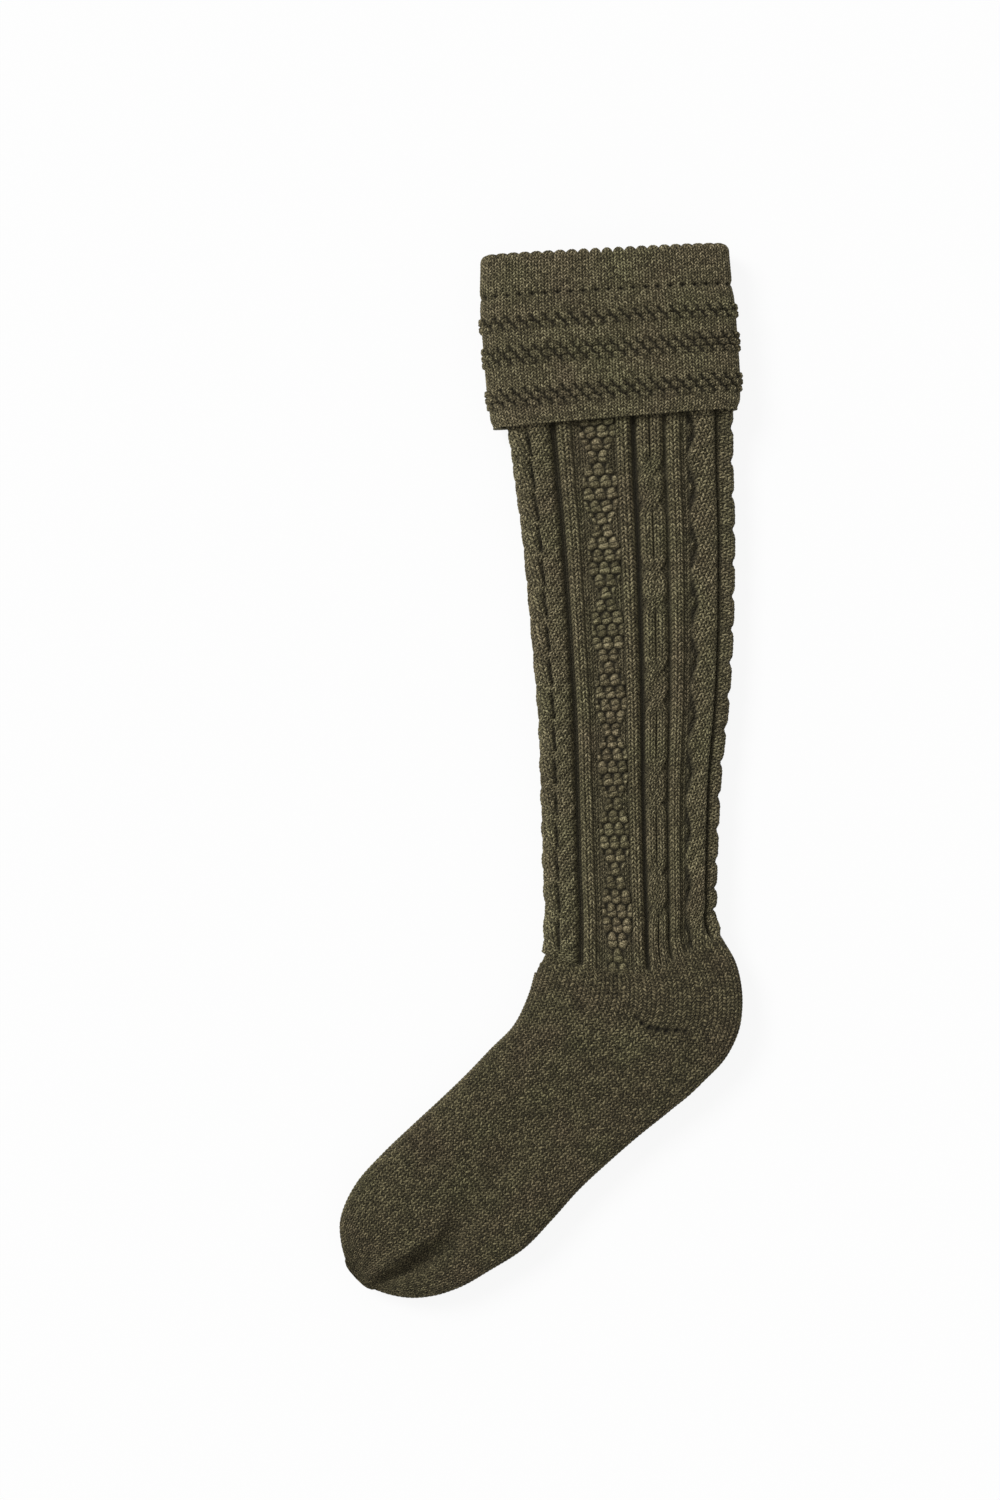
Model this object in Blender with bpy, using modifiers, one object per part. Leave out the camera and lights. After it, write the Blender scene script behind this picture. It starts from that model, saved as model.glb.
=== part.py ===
"""A cable-knit knee sock with a turned-down cuff, lying on its side on a flat surface.

The sock is one flattened tube that bends at the ankle. Short tables hold its sections from the top of
the leg to the toe, as shares of the named sizes. Each knitted section is an open surface made from
them, with Solidify for its wall. Metres, +Z up, the leg along +Y and the toe towards -X and -Y.
"""

import math
from typing import NamedTuple

import bmesh
import bpy
import numpy as np

SOCK_NAME = "cable_knit_sock"

# Leg and foot
LEG_LENGTH = 0.407  # from the ankle point, the middle of the sock's side at the heel, to the cuff's fold
LEG_WIDTH = 0.110  # lying flat, at the calf
LEG_DEPTH = 0.022  # lying flat, from the surface to the top
FOOT_LENGTH = 0.2045  # from the ankle point to the tip of the toe
FOOT_WIDTH = 0.0853
FOOT_DEPTH = 0.026
LEG_LEAN = math.radians(2.3)  # the leg's line leans this far to the front of +Y
FOOT_DROP = math.radians(42.8)  # the foot's line drops this far below -X

# Knitted walls and the gaps between sections
LEG_WALL = 0.0035
FOOT_WALL = 0.0025
CUFF_WALL = 0.0030
CUFF_CLEARANCE = 0.0012  # between the hanging cuff and the leg inside it
SECTION_GAP = 0.0003  # between one knitted section and the next

# The turned-down cuff
CUFF_DROP = 0.089  # from the fold to the hem
LIP_DEPTH = 0.008  # from the fold down to the leg's top edge, inside
DRAPE_LENGTH = 0.022  # below the hem, where the leg comes down to the surface
FOLD_RISE = 0.6  # degrees that the cuff's rows climb to the back, at the fold and at the hem
HEM_RISE = 2.4

# The leg's pattern
CABLE_PITCH = 0.0185  # from one crossing to the next
RIB_HEIGHT = 0.0016
ROPE_HEIGHT = 0.0024
FURROW_DEPTH = 0.0009
BAND_HEIGHT = 0.0010  # of the cuff's textured bands

# Mesh counts
PLAIN_COLUMNS = 32
CUFF_COLUMNS = 32
FOLD_STEPS = 4
PLAIN_STEPS = 6  # sections along the heel and along the foot
SMALL_STEP = 0.0015  # of the short rows beside a section's end, which keep its end face square
HEM_STEP = 2 * SMALL_STEP  # from the hem to the first crossing below it
HEEL_STEP = 4 * SMALL_STEP  # from the last crossing to the heel
PROFILE_POINTS = 240

# How square the flattened tube's edges are: a higher power is flatter between rounder edges
TOP_POWER = 2.9
BASE_POWER = 4.0
BASE_PRESS = 1.06  # how much of the underside is pressed flat: 1 is a line, and more is wider
BEND_SOFTNESS = 0.35  # how widely a section's bend at its middle is rounded, as a share of its half
FOLD_FADE = 4.0  # how sharply the foot's soft folds fade out at its edges

WOOL = (0.070, 0.060, 0.036, 1.0)
WOOL_ROUGHNESS = 0.95


class LegRow(NamedTuple):
    """A section of the leg or heel. Lengths are shares of LEG_LENGTH, LEG_WIDTH and, for depth,
    LEG_DEPTH. The rises are degrees that each half climbs away from square, outwards."""

    up: float
    front: float
    back: float
    front_rise: float
    back_rise: float
    depth: float


class FootRow(NamedTuple):
    """A section of the foot or toe. Lengths are shares of FOOT_LENGTH, FOOT_WIDTH and, for depth and
    lift, FOOT_DEPTH. The lean is in degrees, towards the toe."""

    along: float
    shift: float
    front: float
    back: float
    front_lean: float
    depth: float
    lift: float


class CuffRow(NamedTuple):
    """A row of the cuff's outside. down is a share of CUFF_DROP, front and back are shares of
    LEG_WIDTH, and relief is a share of BAND_HEIGHT."""

    down: float
    front: float
    back: float
    relief: float


class Panel(NamedTuple):
    """A panel of the leg's pattern. width is a share of half the leg's girth, from front to back."""

    kind: str
    width: float


class FoldRow(NamedTuple):
    """A point along a long soft fold in the foot. along is a share of FOOT_LENGTH, across and width
    are shares of FOOT_WIDTH, and depth is a share of FOOT_DEPTH, below the surface if positive."""

    along: float
    across: float
    width: float
    depth: float


LEG_ROWS = (
    LegRow(1.000, 0.575, 0.556, -0.6, 0.6, 1.00),
    LegRow(0.900, 0.560, 0.558, -1.4, 1.4, 1.00),
    LegRow(0.840, 0.545, 0.562, -1.9, 1.9, 1.00),
    LegRow(0.773, 0.493, 0.560, -2.4, 2.4, 1.00),
    LegRow(0.700, 0.466, 0.553, -2, 2, 1.00),
    LegRow(0.640, 0.445, 0.550, -1, 1, 1.00),
    LegRow(0.560, 0.428, 0.537, -1, 1, 1.00),
    LegRow(0.470, 0.412, 0.514, -1, 1, 1.00),
    LegRow(0.400, 0.401, 0.486, -1, 1, 1.00),
    LegRow(0.310, 0.402, 0.437, 0, 1, 1.00),
    LegRow(0.240, 0.404, 0.412, 2, 1, 1.02),
    LegRow(0.180, 0.411, 0.401, 8, 7, 1.05),
    LegRow(0.121, 0.418, 0.410, 14, 18, 1.08),
)
HEEL_ROWS = (
    LegRow(0.043, 0.460, 0.470, 20, 27, 1.14),
    LegRow(0.036, 0.472, 0.496, 21, 13, 1.18),
    LegRow(0.029, 0.482, 0.507, 22, 1, 1.21),
    LegRow(0.022, 0.499, 0.509, 23, -8, 1.24),
    LegRow(0.015, 0.508, 0.504, 24, -16, 1.24),
    LegRow(0.008, 0.521, 0.481, 25, -30, 1.23),
    LegRow(0.000, 0.531, 0.443, 26, -47, 1.21),
)
FOOT_ROWS = (
    FootRow(0.103, 0.010, 0.579, 0.553, 16, 1.00, 0.00),
    FootRow(0.205, 0.019, 0.503, 0.527, 12, 0.98, 0.00),
    FootRow(0.311, 0.029, 0.494, 0.509, 7, 0.97, 0.00),
    FootRow(0.416, 0.034, 0.483, 0.505, 4, 0.96, 0.00),
    FootRow(0.520, 0.048, 0.492, 0.514, 2, 0.97, 0.00),
    FootRow(0.623, 0.057, 0.501, 0.518, 1, 0.98, 0.00),
    FootRow(0.726, 0.065, 0.505, 0.466, 1, 0.97, 0.00),
    FootRow(0.823, 0.060, 0.476, 0.414, 2, 0.93, 0.00),
    FootRow(0.884, 0.038, 0.404, 0.366, 2, 0.86, 0.01),
    FootRow(0.932, 0.024, 0.322, 0.290, 2, 0.74, 0.03),
    FootRow(0.963, 0.014, 0.228, 0.206, 2, 0.60, 0.07),
    FootRow(0.985, 0.007, 0.130, 0.120, 2, 0.40, 0.14),
)
TOE_START = 6  # the row of FOOT_ROWS where the toe begins

CUFF_ROWS = (
    CuffRow(0.06, 0.612, 0.588, 0.0),
    CuffRow(0.20, 0.620, 0.594, 0.0),
    CuffRow(0.25, 0.618, 0.592, -0.7),
    CuffRow(0.31, 0.622, 0.602, 0.0),
    CuffRow(0.40, 0.620, 0.608, 1.0),
    CuffRow(0.49, 0.616, 0.610, -0.3),
    CuffRow(0.59, 0.613, 0.613, 1.0),
    CuffRow(0.71, 0.609, 0.616, -0.3),
    CuffRow(0.83, 0.604, 0.618, 1.0),
    CuffRow(0.90, 0.594, 0.612, -0.6),
    CuffRow(0.95, 0.588, 0.606, 0.6),
    CuffRow(1.00, 0.574, 0.590, -0.2),
)

PANELS = (
    Panel("rope", 0.211),
    Panel("furrow", 0.015),
    Panel("rib", 0.071),
    Panel("purl", 0.028),
    Panel("lozenge", 0.147),
    Panel("rib", 0.069),
    Panel("furrow", 0.016),
    Panel("wave", 0.115),
    Panel("furrow", 0.011),
    Panel("rib", 0.059),
    Panel("purl", 0.027),
    Panel("rope", 0.118),
    Panel("furrow", 0.018),
    Panel("edge_rope", 0.095),
)

# Across each kind of panel: the place as a share of its width, its height on even rows and on odd ones
CROSSINGS = {
    "rope": ((0.20, 1.0, 0.4), (0.50, 0.5, 0.8), (0.82, 0.3, 1.0)),
    "edge_rope": ((0.45, 1.0, 0.5), (0.97, 0.3, 1.0)),
    "rib": ((0.22, 1.0, 1.0), (0.78, 1.0, 1.0)),
    "wave": ((0.22, 1.0, 0.5), (0.50, -0.2, 0.9), (0.78, 1.0, 0.5)),
    "lozenge": ((0.28, 0.2, 0.9), (0.72, 0.9, 0.2)),
    "furrow": ((0.50, -1.0, -1.0),),
    "purl": ((0.50, -0.6, -0.6),),
}
PANEL_HEIGHTS = {
    "rope": ROPE_HEIGHT,
    "edge_rope": ROPE_HEIGHT,
    "rib": RIB_HEIGHT,
    "wave": RIB_HEIGHT,
    "lozenge": RIB_HEIGHT,
    "furrow": FURROW_DEPTH,
    "purl": FURROW_DEPTH,
}

# The valley between the sole's puff and the side, and the raised band of decreases on the toe
SOLE_VALLEY = (
    FoldRow(0.19, 0.145, 0.10, 0.02),
    FoldRow(0.44, 0.060, 0.10, 0.06),
    FoldRow(0.62, 0.130, 0.10, 0.09),
    FoldRow(0.76, 0.225, 0.10, 0.15),
    FoldRow(0.86, 0.200, 0.10, 0.15),
    FoldRow(0.93, 0.130, 0.08, 0.04),
)
DECREASE_BAND = (
    FoldRow(0.70, 0.150, 0.05, 0.00),
    FoldRow(0.80, 0.105, 0.05, -0.04),
    FoldRow(0.92, 0.050, 0.05, -0.05),
    FoldRow(0.98, 0.035, 0.05, 0.00),
)


class Section(NamedTuple):
    """One section of the tube: its three points in plan, its depth and how far it is off the surface."""

    mid: np.ndarray
    front: np.ndarray
    back: np.ndarray
    depth: float
    lift: float


def direction(angle):
    """The unit vector in plan at an angle from +X."""
    return np.array((math.cos(angle), math.sin(angle)))


LEG_LINE = direction(math.pi / 2 + LEG_LEAN)
FOOT_LINE = direction(math.pi + FOOT_DROP)
TO_SOLE = direction(math.pi * 1.5 + FOOT_DROP)
CUFF_INSET = CUFF_WALL + CUFF_CLEARANCE
FOLD_RADIUS = CUFF_WALL + CUFF_CLEARANCE / 2


def leg_section(row):
    """The section that a row of the leg or heel describes."""
    mid = LEG_LINE * row.up * LEG_LENGTH
    front = mid + direction(math.pi + LEG_LEAN - math.radians(row.front_rise)) * row.front * LEG_WIDTH
    back = mid + direction(LEG_LEAN + math.radians(row.back_rise)) * row.back * LEG_WIDTH
    return Section(mid, front, back, row.depth * LEG_DEPTH, 0.0)


def foot_section(row):
    """The section that a row of the foot or toe describes."""
    mid = FOOT_LINE * row.along * FOOT_LENGTH + TO_SOLE * row.shift * FOOT_WIDTH
    lean = math.radians(row.front_lean)
    front = mid + (FOOT_LINE * math.sin(lean) - TO_SOLE * math.cos(lean)) * row.front * FOOT_WIDTH
    back = mid + TO_SOLE * row.back * FOOT_WIDTH
    return Section(mid, front, back, row.depth * FOOT_DEPTH, row.lift * FOOT_DEPTH)


def travel(first, second):
    """How far the tube runs between two sections, as a mean of its middle and edges."""
    return sum(np.linalg.norm(b - a) for a, b in zip(first[:3], second[:3])) / 3


class Tube:
    """A smooth curve of sections through the given ones, read by its distance from the first."""

    def __init__(self, sections):
        steps = [travel(a, b) for a, b in zip(sections, sections[1:])]
        self.places = np.concatenate(([0.0], np.cumsum(steps)))
        self.values = np.array([np.concatenate((s.mid, s.front, s.back, (s.depth, s.lift))) for s in sections])
        self.slopes = np.gradient(self.values, self.places, axis=0)

    def at(self, place):
        """The section at a distance along the tube."""
        index = int(np.clip(np.searchsorted(self.places, place) - 1, 0, len(self.places) - 2))
        span = self.places[index + 1] - self.places[index]
        t = (place - self.places[index]) / span
        start, end = self.values[index], self.values[index + 1]
        rise, fall = self.slopes[index] * span, self.slopes[index + 1] * span
        value = (
            start * (2 * t**3 - 3 * t**2 + 1)
            + rise * (t**3 - 2 * t**2 + t)
            + end * (3 * t**2 - 2 * t**3)
            + fall * (t**3 - t**2)
        )
        return Section(value[0:2], value[2:4], value[4:6], value[6], value[7])

    def end_at(self, place, side):
        """The section at a seam, moved to one side of it by half the gap between sections."""
        here, beside = self.at(place), self.at(place + side * SMALL_STEP)
        moved = []
        for a, b in zip(here[:3], beside[:3]):
            moved.append(a + (b - a) / np.linalg.norm(b - a) * SECTION_GAP / 2)
        return Section(*moved, here.depth, here.lift)


def inset_section(section, inset):
    """A section drawn inside another, at an even distance from it."""
    front = section.front + (section.mid - section.front) / np.linalg.norm(section.mid - section.front) * inset
    back = section.back + (section.mid - section.back) / np.linalg.norm(section.mid - section.back) * inset
    return Section(section.mid, front, back, section.depth - 2 * inset, section.lift + inset)


def fold_offset(x, y, rows):
    """How far a long fold lowers the surface at a point in plan."""
    along = (x * FOOT_LINE[0] + y * FOOT_LINE[1]) / FOOT_LENGTH
    across = (x * TO_SOLE[0] + y * TO_SOLE[1]) / FOOT_WIDTH
    places = [row.along for row in rows]
    line = np.interp(along, places, [row.across for row in rows])
    width = np.interp(along, places, [row.width for row in rows])
    depth = np.interp(along, places, [row.depth for row in rows], left=0.0, right=0.0)
    return FOOT_DEPTH * depth * math.exp(-(((across - line) / width) ** 2))


def profile(width, depth):
    """The closed outline of a flattened tube from the front edge over the top to the back and round
    underneath, as shares across from -1 to 1 and heights, with each point's share of the girth."""
    turn = np.linspace(0.0, 2 * math.pi, PROFILE_POINTS + 1)
    across = -np.cos(turn)
    over = np.clip(1 - np.abs(across) ** TOP_POWER, 0, None) ** (1 / TOP_POWER)
    under = np.clip(1 - np.abs(across) ** BASE_POWER, 0, None) ** (1 / BASE_POWER)
    height = np.where(turn <= math.pi, 1 + over, np.maximum(0, 1 - BASE_PRESS * under)) * depth / 2
    steps = np.hypot(np.diff(across) * width / 2, np.diff(height))
    girth = np.concatenate(([0.0], np.cumsum(steps)))
    return across, height, girth


def soft_share(across):
    """How far a section runs towards one edge, and its slope, with the bend at the middle rounded."""
    root = math.hypot(across, BEND_SOFTNESS)
    return (across + root + 1 - math.hypot(1, BEND_SOFTNESS)) / 2, (1 + across / root) / 2


def plan_point(section, across):
    """The point in plan at a share across a section, and the unit vector there towards its back."""
    to_front, to_back = section.front - section.mid, section.back - section.mid
    front_share, front_slope = soft_share(-across)
    back_share, back_slope = soft_share(across)
    run = to_back * back_slope - to_front * front_slope
    return section.mid + to_front * front_share + to_back * back_share, run / np.linalg.norm(run)


def ring(section, shares, reliefs, folds=()):
    """Points round a section at shares of its girth, pushed out by reliefs and lowered by folds."""
    width = np.linalg.norm(section.mid - section.front) + np.linalg.norm(section.back - section.mid)
    across, height, girth = profile(width, section.depth)
    half = girth[PROFILE_POINTS // 2]
    points = []
    for share, relief in zip(shares, reliefs):
        length = share * 2 * half if share <= 0.5 else half + (share - 0.5) * 2 * (girth[-1] - half)
        q, z = np.interp(length, girth, across), np.interp(length, girth, height)
        ahead = length + girth[-1] / PROFILE_POINTS
        behind = length - girth[-1] / PROFILE_POINTS
        dq = (np.interp(ahead % girth[-1], girth, across) - np.interp(behind % girth[-1], girth, across)) * width / 2
        dz = np.interp(ahead % girth[-1], girth, height) - np.interp(behind % girth[-1], girth, height)
        size = math.hypot(dq, dz)
        out_across, out_up = -dz / size, dq / size
        place, to_back = plan_point(section, q)
        x, y = place + to_back * out_across * relief
        z += out_up * relief
        if share < 0.5:
            z -= sum(fold_offset(x, y, rows) for rows in folds) * min(1.0, FOLD_FADE * (1 - abs(q)))
        points.append((x, y, max(0.0, z) + section.lift))
    return points


def even_shares(count):
    """Even shares of the girth, starting at the front edge."""
    return [index / count for index in range(count)]


def surface(name, rings, tip=None):
    """A mesh of one open tube through rings of points, closed at its far end if a tip is given."""
    mesh = bpy.data.meshes.new(name)
    shape = bmesh.new()
    rows = [[shape.verts.new(point) for point in points] for points in rings]
    for first, second in zip(rows, rows[1:]):
        for index in range(len(first)):
            after = (index + 1) % len(first)
            shape.faces.new((second[index], second[after], first[after], first[index]))
    if tip is not None:
        top = shape.verts.new(tip)
        last = rows[-1]
        for index in range(len(last)):
            shape.faces.new((top, last[(index + 1) % len(last)], last[index]))
    shape.to_mesh(mesh)
    shape.free()
    return mesh


def wool(name):
    """The knitted wool of a section."""
    material = bpy.data.materials.new(name)
    material.use_nodes = True
    shader = material.node_tree.nodes["Principled BSDF"]
    shader.inputs["Base Color"].default_value = WOOL
    shader.inputs["Roughness"].default_value = WOOL_ROUGHNESS
    shader.inputs["Metallic"].default_value = 0.0
    return material


def knitted(mesh, wall, collection, parent):
    """The object of a knitted section: its mesh with a wall added on the inside."""
    piece = bpy.data.objects.new(mesh.name, mesh)
    mesh.shade_smooth()
    mesh.materials.append(wool(mesh.name + "_wool"))
    thicken = piece.modifiers.new("wall", "SOLIDIFY")
    thicken.thickness = wall
    thicken.offset = -1.0
    thicken.use_rim = True
    collection.objects.link(piece)
    piece.parent = parent
    return piece


def cuff_section(down):
    """The cuff's outside at a distance below its fold."""
    places = [row.down * CUFF_DROP for row in CUFF_ROWS]
    rise = FOLD_RISE + (HEM_RISE - FOLD_RISE) * down / CUFF_DROP
    row = LegRow(
        1 - down / LEG_LENGTH,
        np.interp(down, places, [row.front for row in CUFF_ROWS]),
        np.interp(down, places, [row.back for row in CUFF_ROWS]),
        -rise,
        rise,
        1 + 2 * CUFF_INSET / LEG_DEPTH,
    )
    return leg_section(row)


def cuff_mesh():
    """The cuff's seen side: up the inside of the lip, over the fold and down the outside to the hem."""
    shares = even_shares(CUFF_COLUMNS)
    flat = [0.0] * CUFF_COLUMNS
    rings = [ring(inset_section(cuff_section(LIP_DEPTH), 2 * FOLD_RADIUS), shares, flat)]
    for step in range(FOLD_STEPS + 1):
        angle = math.pi * (1 - step / FOLD_STEPS)
        down = FOLD_RADIUS * (1 - math.sin(angle))
        inset = FOLD_RADIUS * (1 - math.cos(angle))
        rings.append(ring(inset_section(cuff_section(down), inset), shares, flat))
    for row in CUFF_ROWS:
        relief = [row.relief * BAND_HEIGHT] * CUFF_COLUMNS
        if row.down * CUFF_DROP > FOLD_RADIUS:
            rings.append(ring(cuff_section(row.down * CUFF_DROP), shares, relief))
    return surface("turnover_cuff", rings)


def panel_columns():
    """The leg's columns on one side: each one's share of the half girth and its two heights."""
    columns, start = [], 0.0
    for panel in PANELS:
        for place, even, odd in CROSSINGS[panel.kind]:
            height = PANEL_HEIGHTS[panel.kind]
            columns.append((start + place * panel.width, even * height, odd * height))
        start += panel.width
    return columns


def leg_columns():
    """The leg's columns all round: those of the top and the same ones mirrored underneath."""
    top = panel_columns()
    over = [(share / 2, even, odd) for share, even, odd in top]
    under = [(1 - share / 2, odd, even) for share, even, odd in reversed(top)]
    return over + under


def under_cuff(tube, down):
    """The leg's section inside the cuff, whose inside limits it and holds it off the surface."""
    cuff = inset_section(cuff_section(down), CUFF_INSET)
    own = tube.at(place_of(tube, down))
    ends = []
    for edge, limit in ((own.front, cuff.front), (own.back, cuff.back)):
        way = limit - cuff.mid
        reach = min(np.linalg.norm(edge - own.mid), np.linalg.norm(way))
        ends.append(cuff.mid + way / np.linalg.norm(way) * reach)
    return Section(cuff.mid, *ends, cuff.depth, cuff.lift)


def below_hem(tube, place):
    """The leg's section below the hem, where it comes down to the surface."""
    section = tube.at(place)
    fallen = (LEG_LENGTH - CUFF_DROP - section.mid @ LEG_LINE) / DRAPE_LENGTH
    return section._replace(lift=CUFF_INSET * max(0.0, 1 - fallen))


def place_of(tube, down):
    """The place along the tube at a distance below the cuff's fold."""
    downs = [(1 - row.up) * LEG_LENGTH for row in LEG_ROWS]
    return np.interp(down, downs, tube.places[: len(LEG_ROWS)])


def sock_tube():
    """The whole tube from the top of the leg to the toe, and the places of its seams."""
    rows = [leg_section(row) for row in LEG_ROWS + HEEL_ROWS]
    rows += [foot_section(row) for row in FOOT_ROWS]
    tube = Tube(rows)
    heel_start = tube.places[len(LEG_ROWS)]
    foot_start = tube.places[len(LEG_ROWS) + len(HEEL_ROWS) - 1]
    toe_start = tube.places[len(LEG_ROWS) + len(HEEL_ROWS) + TOE_START]
    return tube, heel_start, foot_start, toe_start


def leg_mesh(tube, heel_start):
    """The cabled leg, from its top edge under the cuff's lip to the plain heel."""
    columns = leg_columns()
    shares = [share for share, _, _ in columns]
    flat = [0.0] * len(columns)
    top = LIP_DEPTH + SECTION_GAP
    rings = []
    for down in (top, (top + CUFF_DROP) / 2, CUFF_DROP - SMALL_STEP):
        rings.append(ring(under_cuff(tube, down), shares, flat))
    first, last = place_of(tube, CUFF_DROP + HEM_STEP), heel_start - HEEL_STEP
    count = round((last - first) / (CABLE_PITCH / 2))
    for index in range(count + 1):
        place = first + (last - first) * index / count
        relief = [column[1 + index % 2] for column in columns]
        rings.append(ring(below_hem(tube, place), shares, relief))
    rings.append(ring(tube.at(heel_start - SMALL_STEP), shares, flat))
    rings.append(ring(tube.end_at(heel_start, -1), shares, flat))
    return surface("leg", rings)


def plain_mesh(name, tube, start, end, folds):
    """A plain knitted section between two seams."""
    shares = even_shares(PLAIN_COLUMNS)
    flat = [0.0] * PLAIN_COLUMNS
    sections = [tube.end_at(start, 1), tube.at(start + SMALL_STEP)]
    sections += [tube.at(start + (end - start) * step / PLAIN_STEPS) for step in range(1, PLAIN_STEPS)]
    sections += [tube.at(end - SMALL_STEP), tube.end_at(end, -1)]
    return surface(name, [ring(section, shares, flat, folds) for section in sections])


def toe_mesh(tube, start):
    """The toe, which closes on a rounded tip."""
    shares = even_shares(PLAIN_COLUMNS)
    flat = [0.0] * PLAIN_COLUMNS
    folds = (SOLE_VALLEY, DECREASE_BAND)
    sections = [tube.end_at(start, 1), tube.at(start + SMALL_STEP)]
    sections += [foot_section(row) for row in FOOT_ROWS[TOE_START + 1 :]]
    last = foot_section(FOOT_ROWS[-1])
    tip = (*(FOOT_LINE * FOOT_LENGTH), last.lift + last.depth / 2)
    return surface("toe", [ring(section, shares, flat, folds) for section in sections], tip)


def middle(pieces):
    """The middle in plan of all the pieces' outsides."""
    points = np.array([vertex.co for piece in pieces for vertex in piece.data.vertices])
    return (points.min(axis=0) + points.max(axis=0)) / 2


def build():
    """The sock, in a collection of its own, standing on z = 0 with its middle over the origin."""
    for old in list(bpy.data.objects):
        bpy.data.objects.remove(old, do_unlink=True)
    collection = bpy.data.collections.new(SOCK_NAME)
    bpy.context.scene.collection.children.link(collection)
    parent = bpy.data.objects.new(SOCK_NAME, None)
    collection.objects.link(parent)

    tube, heel_start, foot_start, toe_start = sock_tube()
    folds = (SOLE_VALLEY,)
    pieces = [
        knitted(cuff_mesh(), CUFF_WALL, collection, parent),
        knitted(leg_mesh(tube, heel_start), LEG_WALL, collection, parent),
        knitted(plain_mesh("heel", tube, heel_start, foot_start, folds), FOOT_WALL, collection, parent),
        knitted(plain_mesh("foot", tube, foot_start, toe_start, folds), FOOT_WALL, collection, parent),
        knitted(toe_mesh(tube, toe_start), FOOT_WALL, collection, parent),
    ]
    x, y, _ = middle(pieces)
    parent.location = (-x, -y, 0.0)


build()
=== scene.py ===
"""Looks of the cable-knit knee sock: every knitted section as its own stitches, in marled wool.

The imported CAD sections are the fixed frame. Each is replaced by a knitted shell on the same surface, whose
stitches, cables, ribs, eyelets and nubs are laid out in courses and wales and pushed out along the surface.
"""

import logging
import math
from dataclasses import dataclass, field
from enum import Enum
from typing import Callable, NamedTuple, Sequence

import bpy
import numpy as np
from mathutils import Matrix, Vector

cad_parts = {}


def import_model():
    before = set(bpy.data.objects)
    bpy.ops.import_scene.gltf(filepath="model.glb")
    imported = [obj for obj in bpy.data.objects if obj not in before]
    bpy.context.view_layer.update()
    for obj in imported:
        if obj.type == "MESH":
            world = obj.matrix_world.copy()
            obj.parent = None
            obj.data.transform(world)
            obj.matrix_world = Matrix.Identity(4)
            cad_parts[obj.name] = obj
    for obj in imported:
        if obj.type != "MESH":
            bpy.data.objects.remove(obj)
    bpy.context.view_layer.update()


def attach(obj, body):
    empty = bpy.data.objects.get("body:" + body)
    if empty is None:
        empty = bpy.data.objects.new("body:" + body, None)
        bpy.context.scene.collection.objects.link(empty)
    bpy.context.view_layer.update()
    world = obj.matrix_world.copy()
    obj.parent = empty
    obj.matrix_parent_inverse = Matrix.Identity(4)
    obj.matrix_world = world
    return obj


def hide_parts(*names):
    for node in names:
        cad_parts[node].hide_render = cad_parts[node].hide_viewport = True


Array = np.ndarray
LOG = logging.getLogger("sock")
MM = 0.001

IMAGE_HEIGHT_PX = 1500
IMAGE_CENTRE_PX = (500.0, 750.0)
METRES_PER_PX = 0.00053
ANKLE_PX = (638.0, 1018.0)  # the middle of the sock's side at the heel, in the photograph
ANKLE_POINT = (0.0511997, -0.1303063)  # the same point in the CAD frame


def linear(hex_colour: str) -> tuple[float, float, float, float]:
    """Turns an sRGB hex colour to linear.

    Args:
        hex_colour: six hex digits.

    Returns:
        Linear red, green, blue and an alpha of 1.
    """
    channels = [int(hex_colour[i : i + 2], 16) / 255 for i in (0, 2, 4)]
    red, green, blue = (c / 12.92 if c <= 0.04045 else ((c + 0.055) / 1.055) ** 2.4 for c in channels)
    return (red, green, blue, 1.0)


def add_node(
    tree: bpy.types.NodeTree, kind: str, inputs: dict | None = None, **settings: object
) -> bpy.types.Node:
    """Adds one node with its settings and links.

    Args:
        tree: the node tree.
        kind: the node's bl_idname.
        inputs: socket name or number to a value, or to the output socket that is linked to it.
        settings: the node's own properties.

    Returns:
        The node.
    """
    made = tree.nodes.new(kind)
    for name, value in settings.items():
        setattr(made, name, value)
    for key, value in (inputs or {}).items():
        if isinstance(value, bpy.types.NodeSocket):
            tree.links.new(value, made.inputs[key])
        else:
            made.inputs[key].default_value = value
    return made


def maths(
    tree: bpy.types.NodeTree, operation: str, *values: object, clamp: bool = False
) -> bpy.types.NodeSocket:
    """Adds a Math node.

    Args:
        tree: the node tree.
        operation: the node's operation.
        values: its inputs in order, each a number or an output socket.
        clamp: whether the result is kept from 0 to 1.

    Returns:
        The node's output.
    """
    inputs = dict(enumerate(values))
    return add_node(tree, "ShaderNodeMath", inputs, operation=operation, use_clamp=clamp).outputs[0]


def noise(
    tree: bpy.types.NodeTree, size_mm: float, detail: float, roughness: float = 0.5
) -> bpy.types.NodeSocket:
    """Adds a noise of a real size in the object's own space.

    Args:
        tree: the node tree.
        size_mm: the size of its largest grains.
        detail: how many finer octaves it has.
        roughness: how strong the finer octaves are.

    Returns:
        The noise from 0 to 1.
    """
    place = add_node(tree, "ShaderNodeTexCoord").outputs["Object"]
    inputs = {"Vector": place, "Scale": 1 / (size_mm * MM), "Detail": detail, "Roughness": roughness}
    return add_node(tree, "ShaderNodeTexNoise", inputs).outputs["Fac"]


class LegRow(NamedTuple):
    """A section of the leg or heel: shares of the leg's length, width and depth, and degrees of rise."""

    up: float
    front: float
    back: float
    front_rise: float
    back_rise: float
    depth: float


class FootRow(NamedTuple):
    """A section of the foot or toe: shares of the foot's length, width and depth, and degrees of lean."""

    along: float
    shift: float
    front: float
    back: float
    front_lean: float
    depth: float
    lift: float


class CuffRow(NamedTuple):
    """A row of the cuff's outside: a share of its drop, and of the leg's width to the front and back."""

    down: float
    front: float
    back: float


class FoldRow(NamedTuple):
    """A point along a soft fold: shares of the foot's length, width, width and depth."""

    along: float
    across: float
    width: float
    depth: float


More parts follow.
